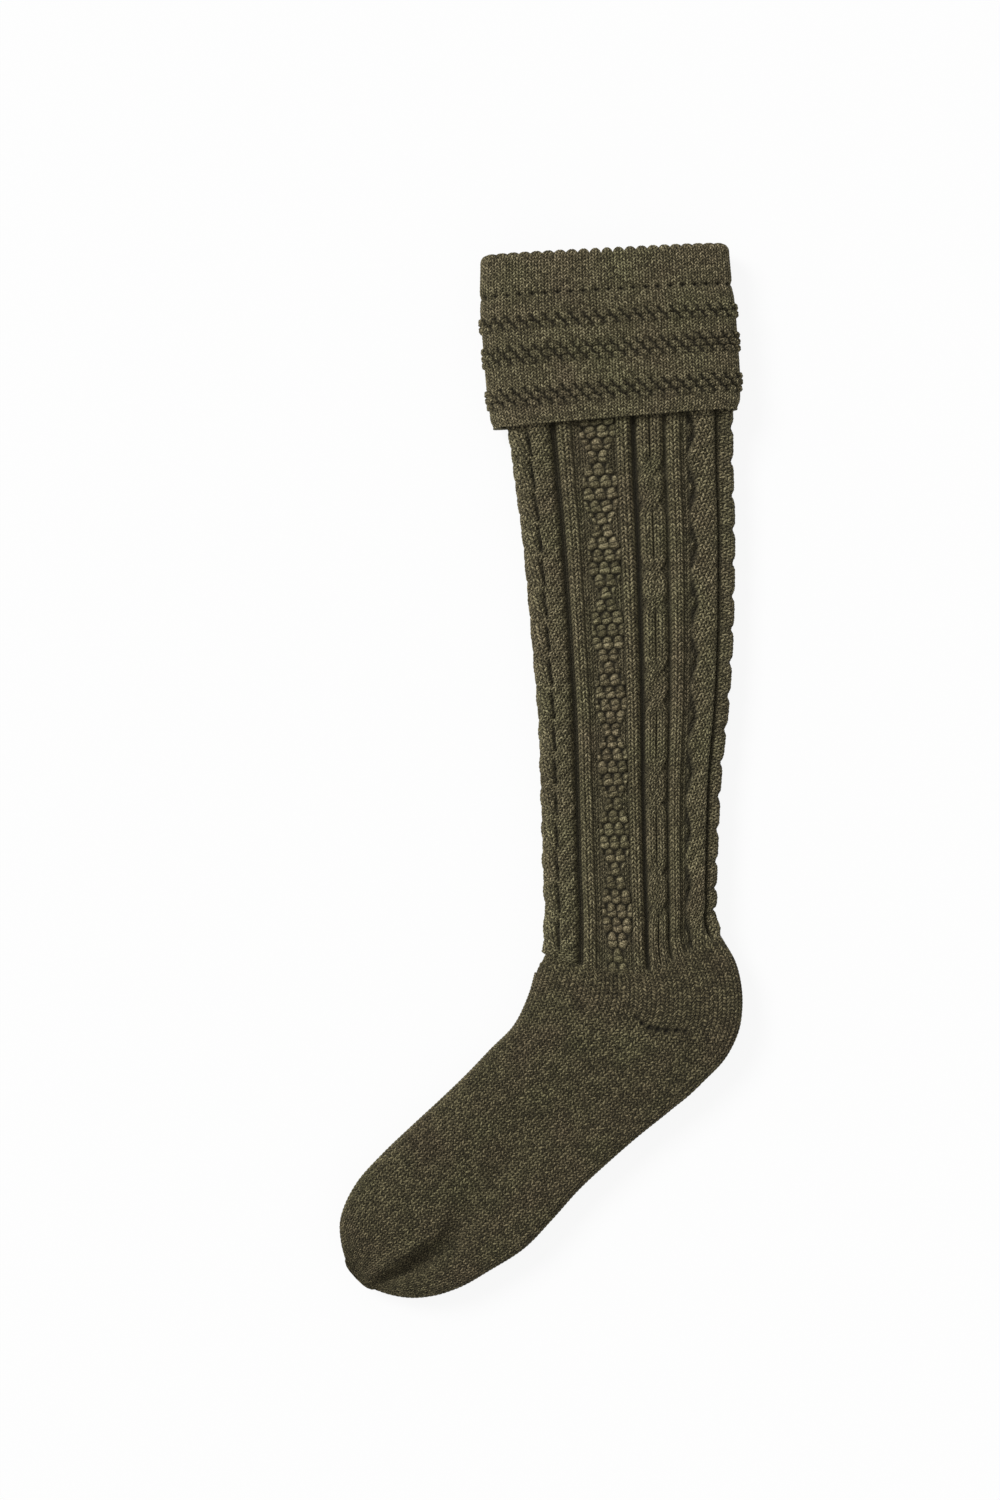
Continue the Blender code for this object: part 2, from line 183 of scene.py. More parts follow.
LEG_ROWS = (
    LegRow(1.000, 0.575, 0.556, -0.6, 0.6, 1.00),
    LegRow(0.900, 0.560, 0.558, -1.4, 1.4, 1.00),
    LegRow(0.840, 0.545, 0.562, -1.9, 1.9, 1.00),
    LegRow(0.773, 0.493, 0.560, -2.4, 2.4, 1.00),
    LegRow(0.700, 0.466, 0.553, -2, 2, 1.00),
    LegRow(0.640, 0.445, 0.550, -1, 1, 1.00),
    LegRow(0.560, 0.428, 0.537, -1, 1, 1.00),
    LegRow(0.470, 0.412, 0.514, -1, 1, 1.00),
    LegRow(0.400, 0.401, 0.486, -1, 1, 1.00),
    LegRow(0.310, 0.402, 0.437, 0, 1, 1.00),
    LegRow(0.240, 0.404, 0.412, 2, 1, 1.02),
    LegRow(0.180, 0.411, 0.401, 8, 7, 1.05),
    LegRow(0.121, 0.418, 0.410, 14, 18, 1.08),
)
HEEL_ROWS = (
    LegRow(0.043, 0.460, 0.470, 20, 27, 1.14),
    LegRow(0.036, 0.472, 0.496, 21, 13, 1.18),
    LegRow(0.029, 0.482, 0.507, 22, 1, 1.21),
    LegRow(0.022, 0.499, 0.509, 23, -8, 1.24),
    LegRow(0.015, 0.508, 0.504, 24, -16, 1.24),
    LegRow(0.008, 0.521, 0.481, 25, -30, 1.23),
    LegRow(0.000, 0.531, 0.443, 26, -47, 1.21),
)
FOOT_ROWS = (
    FootRow(0.103, 0.010, 0.579, 0.553, 16, 1.00, 0.00),
    FootRow(0.205, 0.019, 0.503, 0.527, 12, 0.98, 0.00),
    FootRow(0.311, 0.029, 0.494, 0.509, 7, 0.97, 0.00),
    FootRow(0.416, 0.034, 0.483, 0.505, 4, 0.96, 0.00),
    FootRow(0.520, 0.048, 0.492, 0.514, 2, 0.97, 0.00),
    FootRow(0.623, 0.057, 0.501, 0.518, 1, 0.98, 0.00),
    FootRow(0.726, 0.065, 0.505, 0.466, 1, 0.97, 0.00),
    FootRow(0.823, 0.060, 0.476, 0.414, 2, 0.93, 0.00),
    FootRow(0.884, 0.038, 0.404, 0.366, 2, 0.86, 0.01),
    FootRow(0.932, 0.024, 0.322, 0.290, 2, 0.74, 0.03),
    FootRow(0.963, 0.014, 0.228, 0.206, 2, 0.60, 0.07),
    FootRow(0.985, 0.007, 0.130, 0.120, 2, 0.40, 0.14),
)
TOE_START = 6  # the row of FOOT_ROWS where the toe begins

CUFF_ROWS = (
    CuffRow(0.06, 0.612, 0.588),
    CuffRow(0.20, 0.620, 0.594),
    CuffRow(0.25, 0.618, 0.592),
    CuffRow(0.31, 0.622, 0.602),
    CuffRow(0.40, 0.620, 0.608),
    CuffRow(0.49, 0.616, 0.610),
    CuffRow(0.59, 0.613, 0.613),
    CuffRow(0.71, 0.609, 0.616),
    CuffRow(0.83, 0.604, 0.618),
    CuffRow(0.90, 0.594, 0.612),
    CuffRow(0.95, 0.588, 0.606),
    CuffRow(1.00, 0.574, 0.590),
)
SOLE_VALLEY = (
    FoldRow(0.19, 0.145, 0.10, 0.02),
    FoldRow(0.44, 0.060, 0.10, 0.06),
    FoldRow(0.62, 0.130, 0.10, 0.11),
    FoldRow(0.76, 0.225, 0.10, 0.27),
    FoldRow(0.86, 0.190, 0.080, 0.36),
    FoldRow(0.93, 0.135, 0.060, 0.24),
    FoldRow(0.98, 0.110, 0.05, 0.04),
)
DECREASE_BAND = (
    FoldRow(0.70, 0.150, 0.05, 0.00),
    FoldRow(0.80, 0.105, 0.038, -0.10),
    FoldRow(0.92, 0.050, 0.038, -0.13),
    FoldRow(0.98, 0.035, 0.040, -0.04),
)
HEEL_DENT = (
    FoldRow(-0.14, 0.43, 0.10, 0.00),
    FoldRow(-0.05, 0.40, 0.12, 0.10),
    FoldRow(0.04, 0.38, 0.12, 0.10),
    FoldRow(0.14, 0.33, 0.10, 0.00),
)


def plan_direction(angle: float) -> Array:
    """The unit vector in plan at an angle from +X."""
    return np.array((math.cos(angle), math.sin(angle)))


class Section(NamedTuple):
    """One section of the tube: its middle, front and back in plan, its depth and its lift."""

    mid: Array
    front: Array
    back: Array
    depth: float
    lift: float


class Lattice:
    """A surface held as close rings of points, read anywhere by place along it and share of its girth."""

    def __init__(self, places: Array, rings: Array) -> None:
        """Keeps the rings and works out the normals.

        Args:
            places: the distance of each ring along the surface, rising.
            rings: points, as ring by share by three, without the closing column.
        """
        self.places = places
        self.count = rings.shape[1]
        along = np.gradient(rings, places, axis=0)
        around = np.roll(rings, -1, axis=1) - np.roll(rings, 1, axis=1)
        normals = np.cross(along, around)
        normals /= np.linalg.norm(normals, axis=2, keepdims=True) + 1e-12
        self.values = np.concatenate((rings, normals), axis=2)

    def at(self, place: Array, share: Array) -> tuple[Array, Array]:
        """Reads the surface.

        Args:
            place: distances along it.
            share: shares of the girth, of the same shape.

        Returns:
            The points and their outward normals.
        """
        row = np.interp(place, self.places, np.arange(len(self.places)))
        first = np.clip(row.astype(int), 0, len(self.places) - 2)
        down = (row - first)[..., None]
        column = np.mod(share, 1.0) * self.count
        left = column.astype(int) % self.count
        right = (left + 1) % self.count
        over = (column - np.floor(column))[..., None]
        top = self.values[first, left] * (1 - over) + self.values[first, right] * over
        low = self.values[first + 1, left] * (1 - over) + self.values[first + 1, right] * over
        value = top * (1 - down) + low * down
        normal = value[..., 3:]
        return value[..., :3], normal / (np.linalg.norm(normal, axis=-1, keepdims=True) + 1e-12)


@dataclass
class SockForm:
    """The whole sock's shape: one flattened tube from the cuff's fold to the toe, in metres."""

    leg_length: float = 0.407
    leg_width: float = 0.110
    leg_depth: float = 0.022
    foot_length: float = 0.2045
    foot_width: float = 0.0853
    foot_depth: float = 0.026
    leg_lean: float = math.radians(2.3)
    foot_drop: float = math.radians(42.8)
    cuff_wall: float = 0.0030
    cuff_clearance: float = 0.0012
    cuff_drop: float = 0.089
    lip_depth: float = 0.008
    drape_length: float = 0.022
    fold_rise: float = 0.6
    hem_rise: float = 2.4
    top_power: float = 2.9
    base_power: float = 4.0
    base_press: float = 1.06
    bend_softness: float = 0.35
    fold_fade: float = 4.0
    # how strongly painted shade darkens the sole's valley and the heel's dent
    fold_shade_strength: float = 1.1
    ring_step: float = 0.0006
    ring_points: int = 720
    profile_points: int = 720
    fold_steps: int = 12  # steps round the cuff's fold

    def __post_init__(self) -> None:
        """Works out the directions, the tube and its seams."""
        self.leg_line = plan_direction(math.pi / 2 + self.leg_lean)
        self.foot_line = plan_direction(math.pi + self.foot_drop)
        self.to_sole = plan_direction(math.pi * 1.5 + self.foot_drop)
        self.cuff_inset = self.cuff_wall + self.cuff_clearance
        self.fold_radius = self.cuff_wall + self.cuff_clearance / 2
        sections = [self.leg_section(row) for row in LEG_ROWS + HEEL_ROWS]
        sections += [self.foot_section(row) for row in FOOT_ROWS]
        steps = [self.travel(a, b) for a, b in zip(sections, sections[1:])]
        self.places = np.concatenate(([0.0], np.cumsum(steps)))
        rows = [np.concatenate((s.mid, s.front, s.back, (s.depth, s.lift))) for s in sections]
        self.values = np.array(rows)
        self.slopes = np.gradient(self.values, self.places, axis=0)
        self.leg_downs = [(1 - row.up) * self.leg_length for row in LEG_ROWS]
        self.heel_start = float(self.places[len(LEG_ROWS)])
        self.foot_start = float(self.places[len(LEG_ROWS) + len(HEEL_ROWS) - 1])
        self.toe_start = float(self.places[len(LEG_ROWS) + len(HEEL_ROWS) + TOE_START])
        self.toe_end = float(self.places[-1])
        self.tip = self.toe_end + (1 - FOOT_ROWS[-1].along) * self.foot_length

    def leg_section(self, row: LegRow) -> Section:
        """The section that a row of the leg or heel describes."""
        mid = self.leg_line * row.up * self.leg_length
        ahead = plan_direction(math.pi + self.leg_lean - math.radians(row.front_rise))
        behind = plan_direction(self.leg_lean + math.radians(row.back_rise))
        front, back = ahead * row.front * self.leg_width, behind * row.back * self.leg_width
        return Section(mid, mid + front, mid + back, row.depth * self.leg_depth, 0.0)

    def foot_section(self, row: FootRow) -> Section:
        """The section that a row of the foot or toe describes."""
        mid = self.foot_line * row.along * self.foot_length + self.to_sole * row.shift * self.foot_width
        lean = math.radians(row.front_lean)
        ahead = self.foot_line * math.sin(lean) - self.to_sole * math.cos(lean)
        front, back = ahead * row.front * self.foot_width, self.to_sole * row.back * self.foot_width
        return Section(mid, mid + front, mid + back, row.depth * self.foot_depth, row.lift * self.foot_depth)

    def cuff_section(self, down: float) -> Section:
        """The cuff's outside at a distance below its fold."""
        places = [row.down * self.cuff_drop for row in CUFF_ROWS]
        rise = self.fold_rise + (self.hem_rise - self.fold_rise) * down / self.cuff_drop
        front = float(np.interp(down, places, [row.front for row in CUFF_ROWS]))
        back = float(np.interp(down, places, [row.back for row in CUFF_ROWS]))
        depth = 1 + 2 * self.cuff_inset / self.leg_depth
        return self.leg_section(LegRow(1 - down / self.leg_length, front, back, -rise, rise, depth))

    @staticmethod
    def travel(first: Section, second: Section) -> float:
        """How far the tube runs between two sections, as a mean of its middle and edges."""
        return sum(float(np.linalg.norm(b - a)) for a, b in zip(first[:3], second[:3])) / 3

    @staticmethod
    def inset(section: Section, by: float) -> Section:
        """A section drawn inside another, at an even distance from it."""
        inward, outward = section.mid - section.front, section.mid - section.back
        front = section.front + inward / np.linalg.norm(inward) * by
        back = section.back + outward / np.linalg.norm(outward) * by
        return Section(section.mid, front, back, section.depth - 2 * by, section.lift + by)

    def tube(self, place: float) -> Section:
        """The section at a distance along the tube, on a smooth curve through the rows."""
        index = int(np.clip(np.searchsorted(self.places, place) - 1, 0, len(self.places) - 2))
        span = self.places[index + 1] - self.places[index]
        t = (place - self.places[index]) / span
        start, end = self.values[index], self.values[index + 1]
        rise, fall = self.slopes[index] * span, self.slopes[index + 1] * span
        value = start * (2 * t**3 - 3 * t**2 + 1) + rise * (t**3 - 2 * t**2 + t)
        value = value + end * (3 * t**2 - 2 * t**3) + fall * (t**3 - t**2)
        return Section(value[0:2], value[2:4], value[4:6], float(value[6]), float(value[7]))

    def place_below_fold(self, down: float) -> float:
        """The place along the tube at a distance below the cuff's fold."""
        return float(np.interp(down, self.leg_downs, self.places[: len(LEG_ROWS)]))

    def down_at(self, place: float) -> float:
        """The distance below the cuff's fold at a place along the leg."""
        return float(np.interp(place, self.places[: len(LEG_ROWS)], self.leg_downs))

    def body_section(self, place: float) -> Section:
        """The leg's, heel's, foot's or toe's section at a place, inside the cuff where that covers it."""
        if place > self.toe_end:
            return self.tip_section(place)
        own = self.tube(place)
        down = self.down_at(place)
        if down < self.cuff_drop:
            cuff = self.inset(self.cuff_section(down), self.cuff_inset)
            ends = []
            for edge, limit in ((own.front, cuff.front), (own.back, cuff.back)):
                way = limit - cuff.mid
                reach = min(np.linalg.norm(edge - own.mid), np.linalg.norm(way))
                ends.append(cuff.mid + way / np.linalg.norm(way) * reach)
            return Section(cuff.mid, ends[0], ends[1], cuff.depth, cuff.lift)
        fallen = (self.leg_length - self.cuff_drop - float(own.mid @ self.leg_line)) / self.drape_length
        return own._replace(lift=own.lift + self.cuff_inset * max(0.0, 1 - fallen))

    def tip_section(self, place: float) -> Section:
        """The toe's last rounding, where the section shrinks to its tip."""
        last = self.tube(self.toe_end)
        t = min(1.0, (place - self.toe_end) / (self.tip - self.toe_end))
        scale = max(0.01, math.sqrt(max(0.0, 1 - t * t)))
        mid = last.mid + self.foot_line * (self.tip - self.toe_end) * t
        front, back = mid + (last.front - last.mid) * scale, mid + (last.back - last.mid) * scale
        return Section(mid, front, back, last.depth * scale, last.lift + last.depth * (1 - scale) / 2)

    def fold_offset(self, x: Array, y: Array, rows: Sequence[FoldRow]) -> Array:
        """How far a long soft fold lowers the surface at points in plan."""
        along = (x * self.foot_line[0] + y * self.foot_line[1]) / self.foot_length
        across = (x * self.to_sole[0] + y * self.to_sole[1]) / self.foot_width
        places = [row.along for row in rows]
        line = np.interp(along, places, [row.across for row in rows])
        width = np.interp(along, places, [row.width for row in rows])
        depth = np.interp(along, places, [row.depth for row in rows], left=0.0, right=0.0)
        return self.foot_depth * depth * np.exp(-(((across - line) / width) ** 2))

    def ring(self, section: Section, folded: bool) -> Array:
        """Points round a section at even shares of its girth.

        Args:
            section: the section.
            folded: whether the foot's soft folds lower its top.

        Returns:
            Points as share by three, from the front edge over the top to the back and underneath.
        """
        width = np.linalg.norm(section.mid - section.front) + np.linalg.norm(section.back - section.mid)
        turn = np.linspace(0.0, 2 * math.pi, self.profile_points + 1)
        across = -np.cos(turn)
        over = np.clip(1 - np.abs(across) ** self.top_power, 0, None) ** (1 / self.top_power)
        under = np.clip(1 - np.abs(across) ** self.base_power, 0, None) ** (1 / self.base_power)
        pressed = np.maximum(0, 1 - self.base_press * under)
        height = np.where(turn <= math.pi, 1 + over, pressed) * section.depth / 2
        steps = np.hypot(np.diff(across) * width / 2, np.diff(height))
        girth = np.concatenate(([0.0], np.cumsum(steps)))
        half = girth[self.profile_points // 2]
        share = np.arange(self.ring_points) / self.ring_points
        low = half + (share - 0.5) * 2 * (girth[-1] - half)
        length = np.where(share <= 0.5, share * 2 * half, low)
        q, z = np.interp(length, girth, across), np.interp(length, girth, height)
        soft = self.bend_softness
        half_bend = 1 - math.hypot(1, soft)
        to_front = ((-q + np.hypot(q, soft) + half_bend) / 2)[:, None]
        to_back = ((q + np.hypot(q, soft) + half_bend) / 2)[:, None]
        plan = section.mid + (section.front - section.mid) * to_front + (section.back - section.mid) * to_back
        if folded:
            fade = np.minimum(1.0, self.fold_fade * (1 - np.abs(q))) * (share < 0.5)
            folds = (SOLE_VALLEY, DECREASE_BAND, HEEL_DENT)
            drop = sum(self.fold_offset(plan[:, 0], plan[:, 1], rows) for rows in folds)
            z = np.maximum(0.0, z - drop * fade)
        return np.column_stack((plan + np.array(ANKLE_POINT), z + section.lift))

    def fold_shade(self, lattice: Lattice, place: Array, share: Array) -> Array:
        """How much painted shade darkens the yarn in the foot's folds.

        Args:
            lattice: the smooth surface.
            place: distances along it.
            share: shares of the girth.

        Returns:
            Painted shade from 0 to 1.
        """
        points, _ = lattice.at(place, share)
        x, y = points[..., 0] - ANKLE_POINT[0], points[..., 1] - ANKLE_POINT[1]
        drop = self.fold_offset(x, y, SOLE_VALLEY) + self.fold_offset(x, y, HEEL_DENT)
        return np.clip(self.fold_shade_strength * drop / self.foot_depth, 0, 0.5) * (np.mod(share, 1.0) < 0.5)

    def body(self) -> Lattice:
        """The surface of the leg, heel, foot and toe."""
        start = self.place_below_fold(self.lip_depth)
        places = np.arange(start, self.tip, self.ring_step)
        places = np.append(places, self.tip)
        rings = [self.ring(self.body_section(p), p > self.heel_start) for p in places]
        return Lattice(places, np.array(rings))

    def cuff_path(self) -> list[tuple[float, float, float]]:
        """The cuff's seen side as (place, distance below the fold, inset): up the lip, over and down."""
        path = []
        reach = self.fold_radius
        for down in np.arange(self.lip_depth, reach, -self.ring_step):
            path.append((reach - down, float(down), 2 * reach))
        for step in range(self.fold_steps + 1):
            angle = math.pi * (1 - step / self.fold_steps)
            down, inset = reach * (1 - math.sin(angle)), reach * (1 - math.cos(angle))
            path.append((reach * math.pi * step / self.fold_steps, down, inset))
        bend = reach * math.pi
        for down in np.arange(reach + self.ring_step, self.cuff_drop, self.ring_step):
            path.append((bend + float(down) - reach, float(down), 0.0))
        path.append((bend + self.cuff_drop - reach, self.cuff_drop, 0.0))
        return path

    def cuff(self) -> Lattice:
        """The surface of the turned-down cuff's seen side, from inside its lip to the hem."""
        path = self.cuff_path()
        rings = [self.ring(self.inset(self.cuff_section(down), inset), False) for _, down, inset in path]
        return Lattice(np.array([place for place, _, _ in path]), np.array(rings))


class Grid(NamedTuple):
    """A fine grid of knitted surface, before its relief is added."""

    place: Array
    share: Array
    wale: Array
    course: Array


@dataclass
class KnitShell:
    """Builds one knitted section as a closed thin shell: fine stitches outside, plain cloth inside."""

    name: str
    wall: float
    column_step: int
    row_step: int
    closed: bool = True
    capped: bool = False

    def build(
        self, lattice: Lattice, grid: Grid, relief: Array, shade: Array, slide: Array | None = None
    ) -> bpy.types.Object:
        """Makes the mesh.

        Args:
            lattice: the smooth surface.
            grid: the fine grid, rows by columns. A closed grid has its last column repeated.
            relief: how far each point stands out, in metres.
            shade: how much painted shade darkens the yarn in each point's hollow, from 0 to 1.
            slide: an offset of each point in space, or None.

        Returns:
            The object, linked to the scene.
        """
        points, normals = lattice.at(grid.place, grid.share)
        outer = points + normals * relief[..., None]
        if slide is not None:
            outer = outer + slide
        outer[..., 2] = np.maximum(outer[..., 2], 0.0)
        inner = points - normals * self.wall
        rows, columns = grid.place.shape
        keep = columns - 1 if self.closed else columns
        fine = np.arange(rows * columns).reshape(rows, columns)
        vertex = np.arange(rows * keep).reshape(rows, keep)
        index = np.concatenate((vertex, vertex[:, :1]), axis=1) if self.closed else vertex
        low_rows = np.arange(0, rows, self.row_step)
        low_columns = np.arange(0, columns, self.column_step)
        coarse_columns = low_columns[:-1] if self.closed else low_columns
        coarse = inner[np.ix_(low_rows, coarse_columns)]
        base = rows * keep
        low_vertex = base + np.arange(coarse.shape[0] * coarse.shape[1]).reshape(coarse.shape[:2])
        low_index = np.concatenate((low_vertex, low_vertex[:, :1]), axis=1) if self.closed else low_vertex
        low_fine = fine[np.ix_(low_rows, low_columns)]

        faces: list[tuple[Array, Array]] = []
        outside = self.quads(index)[:, ::-1]
        faces.append((outside, self.quads(fine)[:, ::-1]))
        faces.append((self.quads(low_index), self.quads(low_fine)))
        top = self.rim(index[0], fine[0], low_index[0], low_fine[0], self.column_step)
        faces.append(top)
        if self.capped:
            faces.append((index[-1, :-1][::-1][None], fine[-1, :-1][::-1][None]))
            faces.append((low_index[-1, :-1][None], low_fine[-1, :-1][None]))
        else:
            end = [rows_of[-1][::-1] for rows_of in (index, fine, low_index, low_fine)]
            faces.append(self.rim(*end, self.column_step))
        if not self.closed:
            left = [rows_of[:, 0][::-1] for rows_of in (index, fine, low_index, low_fine)]
            faces.append(self.rim(*left, self.row_step))
            right = [rows_of[:, -1] for rows_of in (index, fine, low_index, low_fine)]
            faces.append(self.rim(*right, self.row_step))

        every = np.concatenate((outer[:, :keep].reshape(-1, 3), coarse.reshape(-1, 3)))
        stitches = np.stack((grid.wale, grid.course), axis=-1).reshape(-1, 2)
        # The plain cloth inside gets a middling painted shade.
        low_shade = np.full(coarse.shape[:2], 0.5)
        shades = np.concatenate((shade[:, :keep].reshape(-1), low_shade.reshape(-1)))
        return self.mesh_object(every, faces, stitches, shades, len(outside))

    @staticmethod
    def quads(numbers: Array) -> Array:
        """The four corners of each cell in a grid of vertex numbers."""
        corners = (numbers[:-1, :-1], numbers[:-1, 1:], numbers[1:, 1:], numbers[1:, :-1])
        return np.stack(corners, axis=-1).reshape(-1, 4)

    @staticmethod
    def rim(
        fine_row: Array, fine_uv: Array, coarse_row: Array, coarse_uv: Array, step: int
    ) -> tuple[Array, Array]:
        """The faces that join a fine edge to the coarse edge inside it.

        Args:
            fine_row: vertices along the fine edge.
            fine_uv: the same points in the grid.
            coarse_row: vertices along the coarse edge.
            coarse_uv: the same points in the grid.
            step: fine edges to one coarse edge.

        Returns:
            The faces' vertices and their grid points.
        """
        cells = len(coarse_row) - 1
        spans = np.arange(cells)[:, None] * step + np.arange(step + 1)[None, :]
        ends = np.stack((np.arange(cells) + 1, np.arange(cells)), axis=-1)
        vertices = np.concatenate((fine_row[spans], coarse_row[ends]), axis=1)
        return vertices, np.concatenate((fine_uv[spans], coarse_uv[ends]), axis=1)

    def mesh_object(
        self, points: Array, faces: list[tuple[Array, Array]], stitches: Array, shades: Array, smooth: int
    ) -> bpy.types.Object:
        """Writes the arrays into a mesh.

        Args:
            points: the vertices.
            faces: groups of faces of one size, as vertices and grid points.
            stitches: the wale and course of each grid point.
            shades: the painted shade of each vertex's hollow.
            smooth: how many faces from the first are the knitted outside.

        Returns:
            The object, linked to the scene.
        """
        mesh = bpy.data.meshes.new(self.name)
        loops = np.concatenate([group.reshape(-1) for group, _ in faces]).astype(np.int32)
        corners = np.concatenate([uv.reshape(-1) for _, uv in faces])
        sizes = np.concatenate([np.full(len(group), group.shape[1]) for group, _ in faces])
        starts = np.concatenate(([0], np.cumsum(sizes)[:-1])).astype(np.int32)
        mesh.vertices.add(len(points))
        mesh.vertices.foreach_set("co", points.astype(np.float32).reshape(-1))
        mesh.loops.add(len(loops))
        mesh.loops.foreach_set("vertex_index", loops)
        mesh.polygons.add(len(sizes))
        mesh.polygons.foreach_set("loop_start", starts)
        mesh.update(calc_edges=True)
        uv_map = mesh.uv_layers.new(name="stitches")
        uv_map.uv.foreach_set("vector", stitches[corners].astype(np.float32).reshape(-1))
        # Painted shade, which the material mixes into the yarn's colour.
        painted_shade = mesh.attributes.new("painted_shade", "FLOAT", "POINT")
        painted_shade.data.foreach_set("value", shades.astype(np.float32))
        rounded = np.zeros(len(sizes), bool)
        rounded[:smooth] = True
        mesh.polygons.foreach_set("use_smooth", rounded)
        mesh.update()
        if mesh.validate():
            LOG.warning("%s had faces that Blender mended", self.name)
        piece = bpy.data.objects.new(self.name, mesh)
        bpy.context.scene.collection.objects.link(piece)
        return piece


def smooth_step(low: float, high: float, value: Array) -> Array:
    """A soft step from 0 at low to 1 at high."""
    t = np.clip((value - low) / (high - low), 0, 1)
    return t * t * (3 - 2 * t)


def bump(value: Array, centre: Array | float, width: float) -> Array:
    """A soft hump of height 1 at a centre."""
    return np.exp(-(((value - centre) / width) ** 2))


class Knots(NamedTuple):
    """Rows of knots: their height from 0 to 1, and each knot's own wale and course."""

    height: Array
    wale: Array
    course: Array


def staggered_knots(across: Array, down: Array, lean: float, wide: float, flare: float) -> Knots:
    """Rounded knots in rows, each row half a knot along from the one above.

    Args:
        across: distance across, in knots.
        down: distance down, in rows of knots.
        lean: how far a knot's foot stands to the right of its head, in knots.
        wide: half the width of a knot, in knots.
        flare: how much wider a knot is at its foot than at its middle, as a share.

    Returns:
        The knots, each drawn as one leg of a stitch wide and two courses tall.
    """
    jolt = 0.03 * np.sin(5.1 * across + 2.3 * down) + 0.02 * np.sin(2.9 * across - 6.7 * down)
    row = np.floor(down + jolt)
    part = down + jolt - row - 0.5
    shifted = across + 0.5 * np.mod(row, 2) - lean * part + jolt
    over = shifted - np.floor(shifted) - 0.5
    reach = wide * (1 + flare * part)
    height = np.clip(1 - (over / reach) ** 2 - (part / 0.52) ** 4, 0, 1) ** 0.6
    wale = np.floor(shifted) + 0.25 + 0.15 * np.clip(over / reach, -1, 1)
    return Knots(height, wale, 2 * (row + part) + 0.3)


@dataclass(frozen=True)
class Stockinette:
    """Plain knitting: columns of stitches, each two legs that lean apart as they go down."""

    depth: float = 0.00070
    lean: float = 0.55  # how many courses a leg's end drops from its wale's middle to its edge
    slant: float = 0.36  # how far a leg's middle moves out along it, in half wales
    half_leg: float = 0.52  # half a leg's width, in half wales

    def relief(self, wale: Array, course: Array) -> Array:
        """How far the stitches stand out, in metres, about their mean."""
        side = np.abs(np.mod(wale, 1.0) - 0.5) * 2
        phase = np.mod(course - self.lean * side, 1.0)
        off = (side - 0.5 - self.slant * (phase - 0.5)) / self.half_leg
        across = np.clip(1 - off**2, 0, 1) ** 0.5
        along = 0.45 + 0.55 * np.sin(math.pi * phase)
        return self.depth * (across * along - 0.5)


